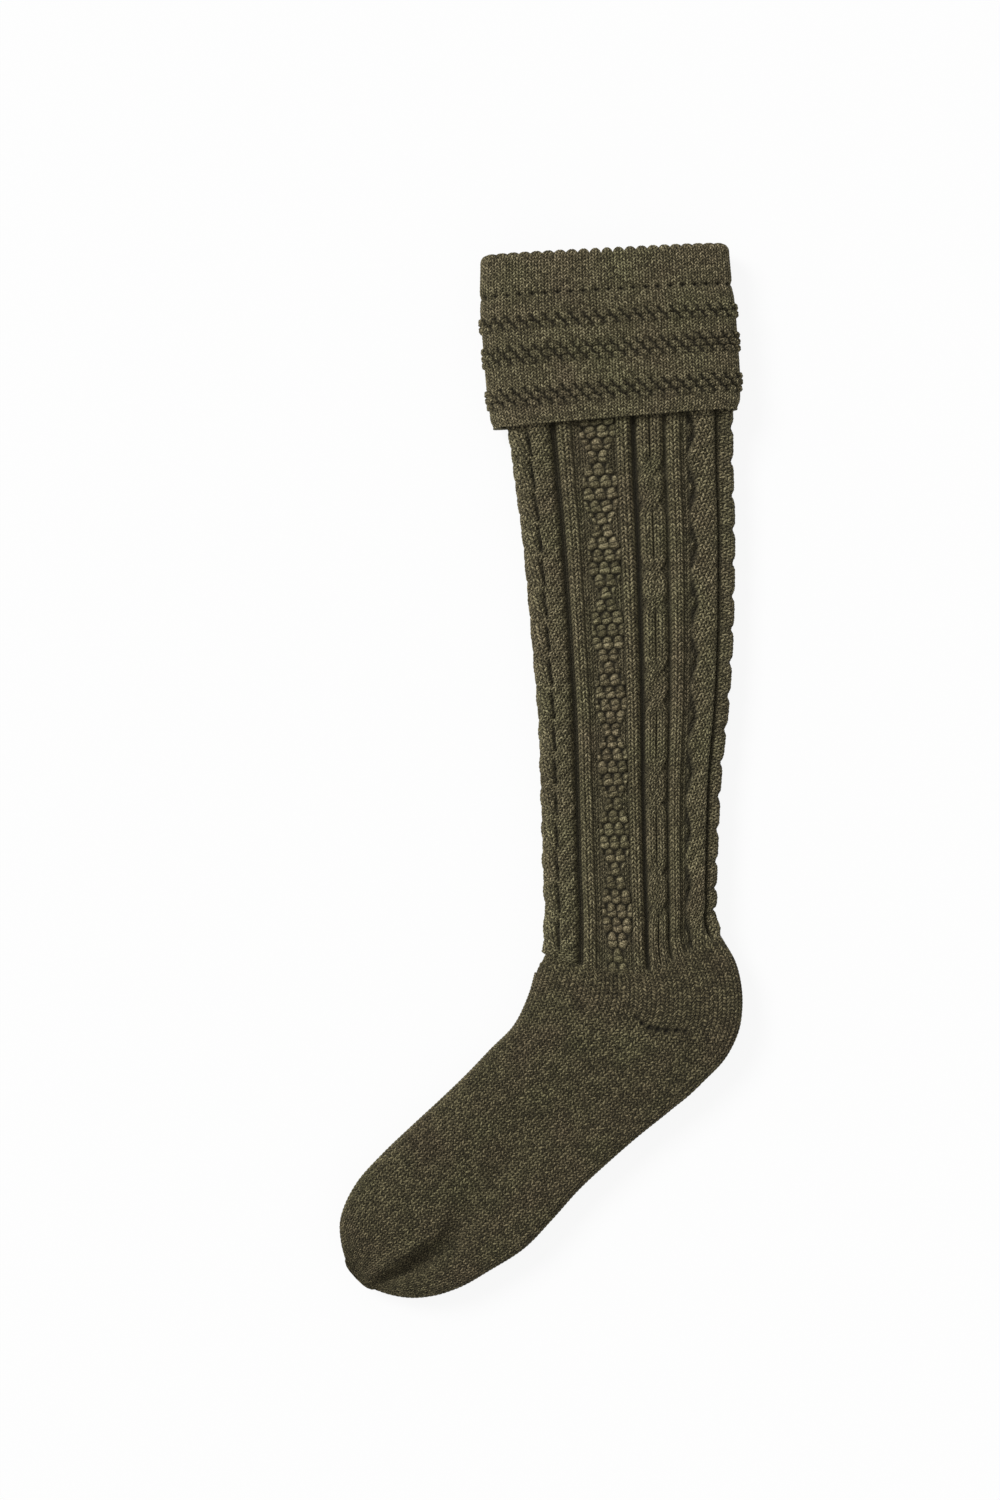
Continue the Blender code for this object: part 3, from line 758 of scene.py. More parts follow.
@dataclass(frozen=True)
class MarledWool:
    """Sheep's wool, spun as a marled yarn of olive, brown and grey-green plies and knitted.

    Marling gives small light and dark flecks along each stitch, and the loose fibres a dull, soft sheen.
    """

    name: str
    body_hex: str = "595239"
    light_hex: str = "B0A580"
    dark_hex: str = "2A2517"
    # painted shade: the near-black that the gaps between stitch legs and the hollows are darkened towards
    groove_shade_hex: str = "0B0905"
    fleck_mm: float = 0.75  # a ply's visible length between twists
    ply_contrast: float = 0.10
    patch_mm: float = 26.0  # how far the dye drifts along the yarn before it turns browner or greener
    fuzz_mm: float = 0.45
    wander_mm: float = 2.6  # hand-fed yarn makes no two stitches quite alike
    wander: float = 0.12
    stitch_bump_mm: float = 0.9
    # how strongly painted shade darkens the gaps between stitch legs
    stitch_shade_strength: float = 0.95
    roughness: float = 0.92
    sheen: float = 0.25

    def make(self) -> bpy.types.Material:
        """Builds the material.

        Returns:
            The material.
        """
        material = bpy.data.materials.new(self.name)
        material.use_nodes = True
        tree = material.node_tree
        shader = tree.nodes["Principled BSDF"]
        shader.inputs["Roughness"].default_value = self.roughness
        shader.inputs["Sheen Weight"].default_value = self.sheen
        shader.inputs["Sheen Roughness"].default_value = 0.5
        shader.inputs["Sheen Tint"].default_value = linear(self.light_hex)
        shader.inputs["Specular IOR Level"].default_value = 0.25
        height, leg_gap_shade, leg = self.stitch(tree)
        colour = self.marl(tree, leg)
        # Painted shade: the hollows' shade from the mesh and the gaps between legs darken the yarn towards
        # the shade colour.
        painted_shade = add_node(tree, "ShaderNodeAttribute", attribute_name="painted_shade")
        shade_factor = maths(tree, "MAXIMUM", leg_gap_shade, painted_shade.outputs["Fac"])
        mix = {"Factor": shade_factor, 6: colour, 7: linear(self.groove_shade_hex)}
        dark = add_node(tree, "ShaderNodeMix", mix, data_type="RGBA")
        tree.links.new(dark.outputs[2], shader.inputs["Base Color"])
        relief = {"Strength": 1.0, "Distance": self.stitch_bump_mm * MM, "Height": height}
        bumps = add_node(tree, "ShaderNodeBump", relief)
        tree.links.new(bumps.outputs["Normal"], shader.inputs["Normal"])
        return material

    def stitch(self, tree: bpy.types.NodeTree) -> tuple[bpy.types.NodeSocket, ...]:
        """Draws the legs of each stitch from its wale and course.

        Args:
            tree: the material's nodes.

        Returns:
            The height for the bump, the painted shade in the gap beside each leg, and the leg's own number.
        """
        knit = Stockinette()
        uv = add_node(tree, "ShaderNodeUVMap", uv_map="stitches")
        parts = add_node(tree, "ShaderNodeSeparateXYZ", {0: uv.outputs[0]}).outputs
        sway = maths(
            tree, "MULTIPLY_ADD", noise(tree, self.wander_mm, 2.0), self.wander, -self.wander / 2
        )
        wale = maths(tree, "ADD", parts[0], sway)
        centred = maths(tree, "SUBTRACT", maths(tree, "FRACT", wale), 0.5)
        side = maths(tree, "MULTIPLY", maths(tree, "ABSOLUTE", centred), 2.0)
        swayed = maths(tree, "ADD", maths(tree, "MULTIPLY_ADD", side, -knit.lean, parts[1]), sway)
        phase = maths(tree, "FRACT", swayed)
        along = maths(tree, "SINE", maths(tree, "MULTIPLY", phase, math.pi))
        drift = maths(tree, "MULTIPLY_ADD", phase, -knit.slant, knit.slant / 2 - 0.5)
        spread = maths(tree, "DIVIDE", maths(tree, "ADD", side, drift), knit.half_leg)
        across = maths(tree, "SUBTRACT", 1.0, maths(tree, "MULTIPLY", spread, spread), clamp=True)
        leg = maths(tree, "MULTIPLY", across, maths(tree, "POWER", along, 0.6))
        height = maths(tree, "MULTIPLY_ADD", noise(tree, self.fuzz_mm, 3.0), 0.55, leg)
        # Painted shade where the legs fall away, between them and at their ends.
        fall = {"Value": leg, "From Min": 0.05, "From Max": 0.70, "To Min": self.stitch_shade_strength, "To Max": 0.0}
        leg_gap_shade = add_node(tree, "ShaderNodeMapRange", fall, interpolation_type="SMOOTHSTEP")
        column = maths(tree, "FLOOR", maths(tree, "MULTIPLY", wale, 2.0))
        row = maths(tree, "FLOOR", swayed)
        number = add_node(tree, "ShaderNodeCombineXYZ", {0: column, 1: row})
        return height, leg_gap_shade.outputs[0], number.outputs[0]

    def marl(self, tree: bpy.types.NodeTree, leg: bpy.types.NodeSocket) -> bpy.types.NodeSocket:
        """Mixes the plies' colours.

        Args:
            tree: the material's nodes.
            leg: the number of the stitch's leg, whose ply is lighter or darker than its neighbours'.

        Returns:
            The yarn's colour.
        """
        fleck = noise(tree, self.fleck_mm, 4.0, 0.7)
        ply = add_node(tree, "ShaderNodeTexWhiteNoise", {"Vector": leg}, noise_dimensions="2D")
        lighter = maths(
            tree, "MULTIPLY_ADD", ply.outputs["Value"], self.ply_contrast, -self.ply_contrast / 2
        )
        ramp = add_node(tree, "ShaderNodeValToRGB", {"Fac": maths(tree, "ADD", fleck, lighter)})
        stops = ramp.color_ramp.elements
        stops[0].position, stops[0].color = 0.36, linear(self.dark_hex)
        stops[1].position, stops[1].color = 0.62, linear(self.light_hex)
        body = stops.new(0.50)
        body.color = linear(self.body_hex)
        patch = noise(tree, self.patch_mm, 2.0)
        hues = {"Value": patch, "From Min": 0.3, "From Max": 0.7, "To Min": 0.485, "To Max": 0.515}
        drift = add_node(tree, "ShaderNodeMapRange", hues)
        tone_of = {"Hue": drift.outputs[0], "Color": ramp.outputs["Color"]}
        tone = add_node(tree, "ShaderNodeHueSaturation", tone_of)
        return tone.outputs["Color"]


@dataclass
class Studio:
    """The camera, the pale floor and the soft light."""

    lens_mm: float = 100.0
    sensor_mm: float = 36.0
    focus_height: float = 0.02
    floor_hex: str = "484848"
    floor_glow: float = 0.90
    floor_size: float = 60.0
    world_strength: float = 0.52
    key_strength: float = 2.55
    key_from: tuple[float, float, float] = (-0.80, 0.62, 1.0)
    key_softness: float = math.radians(24)

    def camera(self) -> None:
        """Puts the camera straight above the middle of the photograph's frame."""
        data = bpy.data.cameras.new("camera")
        data.lens, data.sensor_height, data.sensor_fit = self.lens_mm, self.sensor_mm, "VERTICAL"
        camera = bpy.data.objects.new("camera", data)
        x = ANKLE_POINT[0] + (IMAGE_CENTRE_PX[0] - ANKLE_PX[0]) * METRES_PER_PX
        y = ANKLE_POINT[1] - (IMAGE_CENTRE_PX[1] - ANKLE_PX[1]) * METRES_PER_PX
        frame_height = IMAGE_HEIGHT_PX * METRES_PER_PX
        camera.location = (x, y, self.focus_height + frame_height * self.lens_mm / self.sensor_mm)
        bpy.context.scene.collection.objects.link(camera)
        bpy.context.scene.camera = camera

    def light(self) -> None:
        """Adds the floor, a soft key from the upper left and an even fill from the surroundings."""
        scene = bpy.context.scene
        scene.view_settings.view_transform = "Standard"
        world = bpy.data.worlds.new("studio")
        scene.world = world
        world.use_nodes = True
        background = world.node_tree.nodes["Background"]
        background.inputs["Color"].default_value = (1.0, 1.0, 1.0, 1.0)
        background.inputs["Strength"].default_value = self.world_strength
        data = bpy.data.lights.new("key", "SUN")
        data.angle, data.energy = self.key_softness, self.key_strength
        key = bpy.data.objects.new("key", data)
        key.location = self.key_from
        key.rotation_euler = (-Vector(self.key_from)).to_track_quat("-Z", "Y").to_euler()
        scene.collection.objects.link(key)
        mesh = bpy.data.meshes.new("floor")
        half = self.floor_size / 2
        corners = [(-half, -half, 0), (half, -half, 0), (half, half, 0), (-half, half, 0)]
        mesh.from_pydata(corners, [], [(0, 1, 2, 3)])
        floor = bpy.data.objects.new("floor", mesh)
        floor.location.z = -0.0005
        # Opal acrylic lit evenly from below: it stays pale all over, with only a faint shadow on it.
        acrylic = bpy.data.materials.new("backlit_opal_acrylic")
        acrylic.use_nodes = True
        shader = acrylic.node_tree.nodes["Principled BSDF"]
        shader.inputs["Base Color"].default_value = linear(self.floor_hex)
        shader.inputs["Roughness"].default_value = 0.95
        shader.inputs["Emission Color"].default_value = (1.0, 1.0, 1.0, 1.0)
        shader.inputs["Emission Strength"].default_value = self.floor_glow
        mesh.materials.append(acrylic)
        scene.collection.objects.link(floor)


@dataclass
class PlainSection:
    """A plain knitted section of the foot, in rounds of equal stitches."""

    name: str
    wales: int = 52
    course_pitch: float = 0.00228
    columns_a_wale: int = 6
    rows_a_course: int = 4
    wall: float = 0.0022
    crease_height: float = 0.0011  # the pressed fold along the foot's front edge
    stitch: Stockinette = field(default_factory=Stockinette)

    def grid(self, start: float, end: float, first_course: float) -> Grid:
        """The grid between two places along the tube.

        Args:
            start: the place of the first row.
            end: the place of the last row.
            first_course: the course number at the start.

        Returns:
            The grid.
        """
        courses = round((end - start) / self.course_pitch)
        rows = courses * self.rows_a_course
        columns = self.wales * self.columns_a_wale
        place = np.linspace(start, end, rows + 1)
        share = np.arange(columns + 1) / columns
        course = first_course + np.arange(rows + 1) / self.rows_a_course
        place_grid, share_grid = np.meshgrid(place, share, indexing="ij")
        course_grid, _ = np.meshgrid(course, share, indexing="ij")
        return Grid(place_grid, share_grid, share_grid * self.wales, course_grid)

    def build(
        self, form: SockForm, lattice: Lattice, start: float, end: float, first_course: float, capped: bool
    ) -> bpy.types.Object:
        """Makes the section.

        Args:
            form: the sock's sizes.
            lattice: the smooth surface.
            start: the place of its first row.
            end: the place of its last row.
            first_course: the course number there.
            capped: whether it closes on a tip.

        Returns:
            The object.
        """
        grid = self.grid(start, end, first_course)
        relief = self.stitch.relief(grid.wale, grid.course)
        edge = np.minimum(grid.share, 1 - grid.share) * self.wales
        calm = 1 - smooth_step(form.tip - 0.030, form.tip - 0.010, grid.place)
        ridge, trough = bump(edge, 0.6, 1.1), bump(edge, 3.4, 1.0)
        relief = relief + calm * (self.crease_height * ridge - 0.5 * self.crease_height * trough)
        # Painted shade in the sole's valley and the heel's dent.
        shade = form.fold_shade(lattice, grid.place, grid.share)
        shell = KnitShell(self.name, self.wall, self.columns_a_wale, self.rows_a_course, capped=capped)
        return shell.build(lattice, grid, relief, shade)


def rows_between(start: float, end: float, step: float) -> Array:
    """Places from start up to end, about a step apart, without the end."""
    return np.linspace(start, end, max(1, round((end - start) / step)), endpoint=False)


def whole_steps(places: Array, step: int, end: float) -> Array:
    """Rows that end at a place and divide into whole coarse steps.

    Args:
        places: the rows' places, without the end.
        step: fine rows to one coarse row.
        end: the place of the last row.

    Returns:
        The places, with as many rows added near the end as make whole steps.
    """
    missing = -len(places) % step
    extra = np.linspace(places[-1], end, missing + 2)[1:]
    return np.concatenate((places, extra))


@dataclass
class ShortRowHeel:
    """The heel, whose short rows fan out round the back from a mitre line."""

    name: str = "heel_knit"
    wales: int = 52
    upper_pitch: float = 0.00190
    lower_pitch: float = 0.00228
    columns_a_wale: int = 6
    row_step: int = 4
    row_count: int = 156
    wall: float = 0.0022
    mitre_px: tuple[tuple[float, float], ...] = (
        (634, 1016), (645, 1026), (656, 1028), (664, 1030), (674, 1030), (685, 1030), (707, 1027), (745, 1012)
    )
    hole_end_px: float = 692.0  # where the mitre's row of holes closes up towards the back
    stitch: Stockinette = field(default_factory=Stockinette)

    def mitre_gap(self, points: Array) -> tuple[Array, Array]:
        """How far each point lies below the mitre line.

        Args:
            points: points of the surface.

        Returns:
            The gap in metres, downwards, and the strength of the mitre's holes there.
        """
        xs = [ANKLE_POINT[0] + (x - ANKLE_PX[0]) * METRES_PER_PX for x, _ in self.mitre_px]
        ys = [ANKLE_POINT[1] - (y - ANKLE_PX[1]) * METRES_PER_PX for _, y in self.mitre_px]
        line = np.interp(points[..., 0], xs, ys)
        end = ANKLE_POINT[0] + (self.hole_end_px - ANKLE_PX[0]) * METRES_PER_PX
        strength = smooth_step(xs[0] - 0.002, xs[0] + 0.002, points[..., 0])
        return line - points[..., 1], strength * (1 - smooth_step(end - 0.008, end + 0.004, points[..., 0]))

    def build(self, form: SockForm, lattice: Lattice, start: float, end: float) -> bpy.types.Object:
        """Makes the heel between the leg and the foot.

        Args:
            form: the sock's sizes.
            lattice: the smooth surface.
            start: the place of its first row.
            end: the place of its last row.

        Returns:
            The object.
        """
        columns = self.wales * self.columns_a_wale
        place, share = np.meshgrid(
            np.linspace(start, end, self.row_count + 1), np.arange(columns + 1) / columns, indexing="ij"
        )
        points, _ = lattice.at(place, share)
        steps = np.linalg.norm(np.diff(points, axis=0), axis=2)
        run = np.concatenate((np.zeros((1, columns + 1)), np.cumsum(steps, axis=0)))
        gap, strength = self.mitre_gap(points)
        back = smooth_step(0.20, 0.26, np.minimum(share, 1 - share))
        above = (gap < 0) & (back > 0.5)
        wale = share * self.wales
        course = np.where(above, run / self.upper_pitch, (run - run[-1]) / self.lower_pitch)
        relief = self.stitch.relief(wale, course)
        hole = bump(gap, 0.0, 0.0015) * strength * (share < 0.5)
        beads = 0.5 + 0.5 * np.cos(2 * math.pi * wale)
        relief = relief - 0.0016 * hole * (0.35 + 0.65 * beads)
        relief = relief + 0.0004 * bump(gap, 0.0022, 0.0012) * strength * (share < 0.5)
        # Painted shade in the mitre's row of holes and in the foot's folds.
        shade = np.maximum(1.1 * hole * beads + 0.35 * hole, form.fold_shade(lattice, place, share))
        shell = KnitShell(self.name, self.wall, self.columns_a_wale, self.row_step)
        return shell.build(lattice, Grid(place, share, wale, course), relief, np.clip(shade, 0, 1))


class PanelKind(Enum):
    """The kinds of panel in the leg's pattern."""

    ROPE = "rope"
    EDGE_ROPE = "edge_rope"
    RIB = "rib"
    PURL = "purl"
    LOZENGE = "lozenge"
    WAVE = "wave"
    PLAIT = "plait"
    FURROW = "furrow"


class Panel(NamedTuple):
    """A panel of the leg's pattern. width is a share of half the leg's girth, from front to back."""

    kind: PanelKind
    width: float
    strength: float = 1.0  # how deep a furrow is and how much painted shade darkens it


class Knit(NamedTuple):
    """What a panel gives each of its points: its height, painted shade, wale and course."""

    height: Array
    painted_shade: Array
    wale: Array
    course: Array


@dataclass
class CabledLeg:
    """The leg's cables, ribs and lozenges, from under the cuff to the heel."""

    panels: tuple[Panel, ...] = (
        Panel(PanelKind.PLAIT, 0.210),
        Panel(PanelKind.FURROW, 0.018),
        Panel(PanelKind.RIB, 0.072),
        Panel(PanelKind.PURL, 0.030),
        Panel(PanelKind.LOZENGE, 0.163),
        Panel(PanelKind.RIB, 0.069),
        Panel(PanelKind.FURROW, 0.016),
        Panel(PanelKind.WAVE, 0.115),
        Panel(PanelKind.FURROW, 0.009, 0.75),
        Panel(PanelKind.RIB, 0.058),
        Panel(PanelKind.PURL, 0.028),
        Panel(PanelKind.ROPE, 0.117),
        Panel(PanelKind.FURROW, 0.014, 0.55),
        Panel(PanelKind.EDGE_ROPE, 0.081),
    )
    half_girth: float = 0.116
    course_pitch: float = 0.00225
    rib_wale: float = 0.00424
    rope_wale: float = 0.0036
    rib_height: float = 0.0018
    furrow_depth: float = 0.0018
    furrow_reach: float = 0.0014
    link_pitch: float = 0.0176
    strand_pitch: float = 0.0092
    rope_pitch: float = 0.0300
    knot_pitch: tuple[float, float] = (0.0062, 0.0066)
    lozenge_pitch: float = 0.0365
    wave_pitch: float = 0.053
    plait_slant: float = 0.62  # how far the strands' stitches lean, in radians
    rope_slant: float = 0.42
    edge_slant: float = 1.05
    wall: float = 0.0030
    hidden_step: float = 0.004
    coarse_step: int = 6
    stitch: Stockinette = field(default_factory=lambda: Stockinette(depth=0.0008))

    def slanted(self, x: Array, y: Array, angle: float) -> tuple[Array, Array]:
        """The wales and courses of a strand whose stitches lean by an angle."""
        wale = (x * math.cos(angle) + y * math.sin(angle)) / self.rope_wale
        return wale, (y * math.cos(angle) - x * math.sin(angle)) / self.course_pitch

    def rib(self, x: Array, y: Array, width: float) -> Knit:
        """Two plain wales that stand up as a rounded rib."""
        q = x / width
        body = np.sqrt(np.clip(np.sin(math.pi * np.clip(q, 0, 1)), 0, 1))
        height = self.rib_height * body - 0.0005 * bump(q, 0.5, 0.09)
        # Painted shade at the rib's sides and down its middle.
        painted_shade = 0.55 * (1 - smooth_step(0.0, 0.16, np.minimum(q, 1 - q))) + 0.30 * bump(q, 0.5, 0.06)
        return Knit(height, painted_shade, 2 * q, y / self.course_pitch)

    def purl(self, x: Array, y: Array, width: float) -> Knit:
        """One sunken wale seen from its back, a ladder of small bars."""
        q = x / width
        bars = 0.5 + 0.5 * np.cos(2 * math.pi * y / self.course_pitch)
        height = -0.0007 + 0.0004 * bars * np.sin(math.pi * np.clip(q, 0, 1))
        # Painted shade between the purl bars.
        return Knit(height, 0.5 - 0.2 * bars, q + 0.5, y / self.course_pitch)

    def furrow(self, x: Array, y: Array, width: float) -> Knit:
        """A narrow gap between two panels, darkened with painted shade."""
        height, painted_shade = np.full_like(x, -self.furrow_depth), np.full_like(x, 0.92)
        return Knit(height, painted_shade, x / width, y / self.course_pitch)

    def lozenge(self, x: Array, y: Array, width: float) -> Knit:
        """Diamonds filled with staggered knots, on a ground of purl."""
        q = x / width
        across = (x - width / 2) / self.knot_pitch[0]
        knots = staggered_knots(across, y / self.knot_pitch[1], 0.12, 0.46, 0.55)
        tall = np.abs(y / self.lozenge_pitch - np.floor(y / self.lozenge_pitch) - 0.5) * 2
        reach = 1.34 - 0.92 * tall
        inside = 1 - smooth_step(reach - 0.12, reach + 0.12, np.abs(q - 0.5) * 2)
        bars = 0.5 + 0.5 * np.cos(2 * math.pi * y / self.course_pitch) * np.cos(2 * math.pi * x / 0.0032)
        height = inside * (0.0019 * knots.height - 0.0006) + (1 - inside) * (-0.0005 + 0.0006 * bars)
        # Painted shade round each knot, between the purl bars and at the panel's edges.
        beside = 0.14 + 0.78 * (1 - smooth_step(0.05, 0.60, knots.height))
        painted_shade = inside * beside + (1 - inside) * (0.52 - 0.3 * bars)
        edge = 1 - smooth_step(0.0, 0.07, np.minimum(q, 1 - q))
        wale = np.where(inside > 0.5, knots.wale, x / 0.0030)
        course = np.where(inside > 0.5, knots.course, y / 0.0021)
        return Knit(height - 0.0006 * edge, np.maximum(painted_shade, 0.6 * edge), wale, course)

    def wave(self, x: Array, y: Array, width: float) -> Knit:
        """Two narrow strands side by side, which twist round each other and part again."""
        q = x / width
        phase = np.mod(y / self.wave_pitch + 0.30, 1.0)
        turn = np.clip((phase - 0.35) / 0.65, 0, 1) * 2 * math.pi
        sway = 0.25 * np.cos(turn)
        crossing = np.sin(turn / 2) ** 2
        strands = []
        for side in (-1.0, 1.0):
            across = (q - 0.5 - side * sway) / (0.25 + 0.05 * crossing)
            lift = side * np.sin(turn) * 0.0006
            round_top = np.sqrt(np.clip(1 - across**2, 0, 1)) * 0.0016
            strands.append(round_top + np.where(np.abs(across) < 1, lift, -1.0))
        ground = -0.0010 + 0.0013 * crossing
        first = strands[0] >= strands[1]
        height = np.maximum(np.maximum(strands[0], strands[1]), ground)
        centre = np.where(first, 0.5 - sway, 0.5 + sway)
        wale = (q - centre) / 0.25 + 1.0
        # Painted shade at the strands' edges and in the slot between them.
        rim = 1 - smooth_step(0.0, 0.0007, height - ground)
        slot = bump(q, 0.5, 0.035) * (1 - crossing)
        painted_shade = np.maximum(np.maximum(0.75 * rim * (1 - 0.45 * crossing), 0.95 * slot), 0.10)
        return Knit(height - 0.0010 * slot, painted_shade, wale, y / self.course_pitch)

    def plait(self, x: Array, y: Array, width: float) -> Knit:
        """The wide cable: a chain of narrow links beside slanting strands."""
        q = x / width
        links = np.mod(y / self.link_pitch, 1.0)
        swell = np.sin(math.pi * links) ** 0.5
        link_q = 0.20 + 0.17 * links
        link = np.clip(1 - ((q - link_q) / (0.03 + 0.15 * swell)) ** 2, 0, 1) ** 0.5
        link_height = np.where(link > 0, 0.0002 + 0.0030 * link * swell, -1.0)
        run = np.mod((y + x * 0.95) / self.strand_pitch, 1.0)
        ridge = np.clip(np.sin(math.pi * run), 0, 1) ** 0.6
        border = 0.90 + 0.09 * ridge
        edge = 1 - smooth_step(border - 0.07, border + 0.02, q)
        strand_height = (0.0008 + 0.0013 * ridge) * edge + 0.0009 * bump(q, 0.74, 0.2)
        slit = bump(q, 0.47 + 0.05 * links, 0.045) * smooth_step(0.05, 0.30, links)
        strand_height = strand_height - 0.0022 * slit
        linked = link_height > strand_height
        height = np.where(linked, link_height, strand_height)
        slanted_wale, slanted_course = self.slanted(x, y, self.plait_slant)
        wale = np.where(linked, (q - link_q) / 0.17 + 0.5, slanted_wale)
        course = np.where(linked, y / self.course_pitch, slanted_course)
        # Painted shade round the links, in the seams between strands, in the slit and at the edge.
        seam = 0.55 * (1 - ridge) ** 2 * smooth_step(0.55, 0.85, q)
        painted_shade = np.where(linked, 0.02 + 0.85 * (1 - smooth_step(0.1, 0.50, link)), 0.04 + seam)
        painted_shade = np.clip(np.maximum(painted_shade, 0.97 * slit + 0.5 * (1 - edge)), 0, 0.97)
        return Knit(height, painted_shade, wale, course)

    def rope(self, x: Array, y: Array, width: float) -> Knit:
        """A broad rope of slanting stitches whose front edge swells and narrows."""
        q = x / width
        links = np.mod(y / self.rope_pitch + 0.2, 1.0)
        border = 0.06 + 0.24 * np.sin(math.pi * links) ** 2
        body = smooth_step(border - 0.07, border + 0.07, q)
        lift = 0.0012 + 0.0010 * np.sin(math.pi * np.clip(q, 0, 1))
        ridge = np.sin(2 * math.pi * (y + x * 0.9) / self.strand_pitch)
        knots = bump(q, 0.03, 0.10) * bump(np.mod(links * 2 + 0.5, 1.0), 0.5, 0.16)
        height = lift * body + 0.0003 * ridge * body - 0.0010 * (1 - body) + 0.0024 * knots
        # Painted shade beside the rope's swelling edge.
        painted_shade = np.clip(0.85 * (1 - body) * (1 - 1.2 * knots) + 0.03, 0, 1)
        return Knit(height, painted_shade, *self.slanted(x, y, self.rope_slant))

    def edge_rope(self, x: Array, y: Array, width: float) -> Knit:
        """A rope along the leg's folded edge, which stands out as a row of scallops."""
        q = x / width
        links = np.mod(y / self.link_pitch + 0.4, 1.0)
        notch = bump(links, 0.0, 0.13) + bump(links, 1.0, 0.13)
        scallop = 0.0014 * (1 - notch) * smooth_step(0.10, 0.8, q)
        height = 0.0003 + scallop + 0.0003 * np.sin(math.pi * np.clip(q, 0, 1))
        # Painted shade in the notches, and a light painted shade all over where the leg turns down at its
        # edge.
        return Knit(height, 0.35 * notch + 0.16, *self.slanted(x, y, self.edge_slant))

    def pattern(self, share: Array, down: Array) -> Knit:
        """The whole pattern.

        Args:
            share: shares of the girth.
            down: distances along the leg from the cuff's fold.

        Returns:
            The height, painted shade, wale and course of each point.
        """
        makers: dict[PanelKind, Callable[[Array, Array, float], Knit]] = {
            PanelKind.RIB: self.rib,
            PanelKind.PURL: self.purl,
            PanelKind.FURROW: self.furrow,
            PanelKind.LOZENGE: self.lozenge,
            PanelKind.WAVE: self.wave,
            PanelKind.PLAIT: self.plait,
            PanelKind.ROPE: self.rope,
            PanelKind.EDGE_ROPE: self.edge_rope,
        }
        wrapped = np.mod(share, 1.0)
        half = np.minimum(wrapped, 1 - wrapped) * 2
        out = [np.zeros_like(half) for _ in range(4)]
        start = 0.0
        for panel in self.panels:
            here = (half >= start) & (half <= start + panel.width)
            width = panel.width * self.half_girth
            knit = makers[panel.kind]((half[here] - start) * self.half_girth, down[here], width)
            for total, part in zip(out, knit):
                total[here] = part
            start += panel.width
        place = 0.0
        for panel in self.panels:
            if panel.kind is PanelKind.FURROW:
                off = np.abs(half - place - panel.width / 2)
                gap = np.maximum(0.0, off - panel.width / 2) * self.half_girth
                beside = panel.strength * np.exp(-((gap / self.furrow_reach) ** 2))
                out[0] = out[0] * (1 - beside) - self.furrow_depth * beside
                # Painted shade beside each furrow.
                dark = 0.95 * panel.strength * np.exp(-((gap / (0.5 * self.furrow_reach)) ** 2))
                out[1] = np.maximum(np.where(gap > 0, out[1], 0.0), dark)
            place += panel.width
        return Knit(*out)

    def build(
        self, form: SockForm, lattice: Lattice, name: str, shares: tuple[float, float], step: float
    ) -> bpy.types.Object:
        """Makes one strip of the leg, between two shares of its girth.

        Args:
            form: the sock's sizes.
            lattice: the smooth surface.
            name: the piece's name.
            shares: where the strip starts and ends.
            step: the distance between fine points, in metres.

        Returns:
            The object.
        """
        coarse = self.coarse_step
        hem = form.place_below_fold(form.cuff_drop - 0.006)
        hidden = rows_between(float(lattice.places[0]), hem, self.hidden_step)
        seen = rows_between(hem, form.heel_start, step)
        places = whole_steps(np.concatenate((hidden, seen)), coarse, form.heel_start)
        cells = round((shares[1] - shares[0]) * 2 * self.half_girth / step / coarse) * coarse
        share_row = np.linspace(shares[0], shares[1], cells + 1)
        place, share = np.meshgrid(places, share_row, indexing="ij")
        knit = self.pattern(share, place)
        fade = smooth_step(hem - 0.004, hem + 0.001, place)
        fade = fade * (1 - smooth_step(form.heel_start - 0.003, form.heel_start, place))
        relief = (knit.height + self.stitch.relief(knit.wale, knit.course)) * fade
        shell = KnitShell(name, self.wall, coarse, coarse, closed=False)
        grid = Grid(place, share, knit.wale, knit.course)
        # Painted shade, weaker where the pattern fades out.
        return shell.build(lattice, grid, relief, np.clip(knit.painted_shade * (0.4 + 0.6 * fade), 0, 1))


class BandKind(Enum):
    """The kinds of band round the cuff."""

    PLAIN = "plain"
    EYELETS = "eyelets"
    NUBS = "nubs"
    HEM = "hem"


class Band(NamedTuple):
    """A band of the cuff: its kind, how far below the fold it ends, and its rows of nubs."""

    kind: BandKind
    end: float
    rows: int


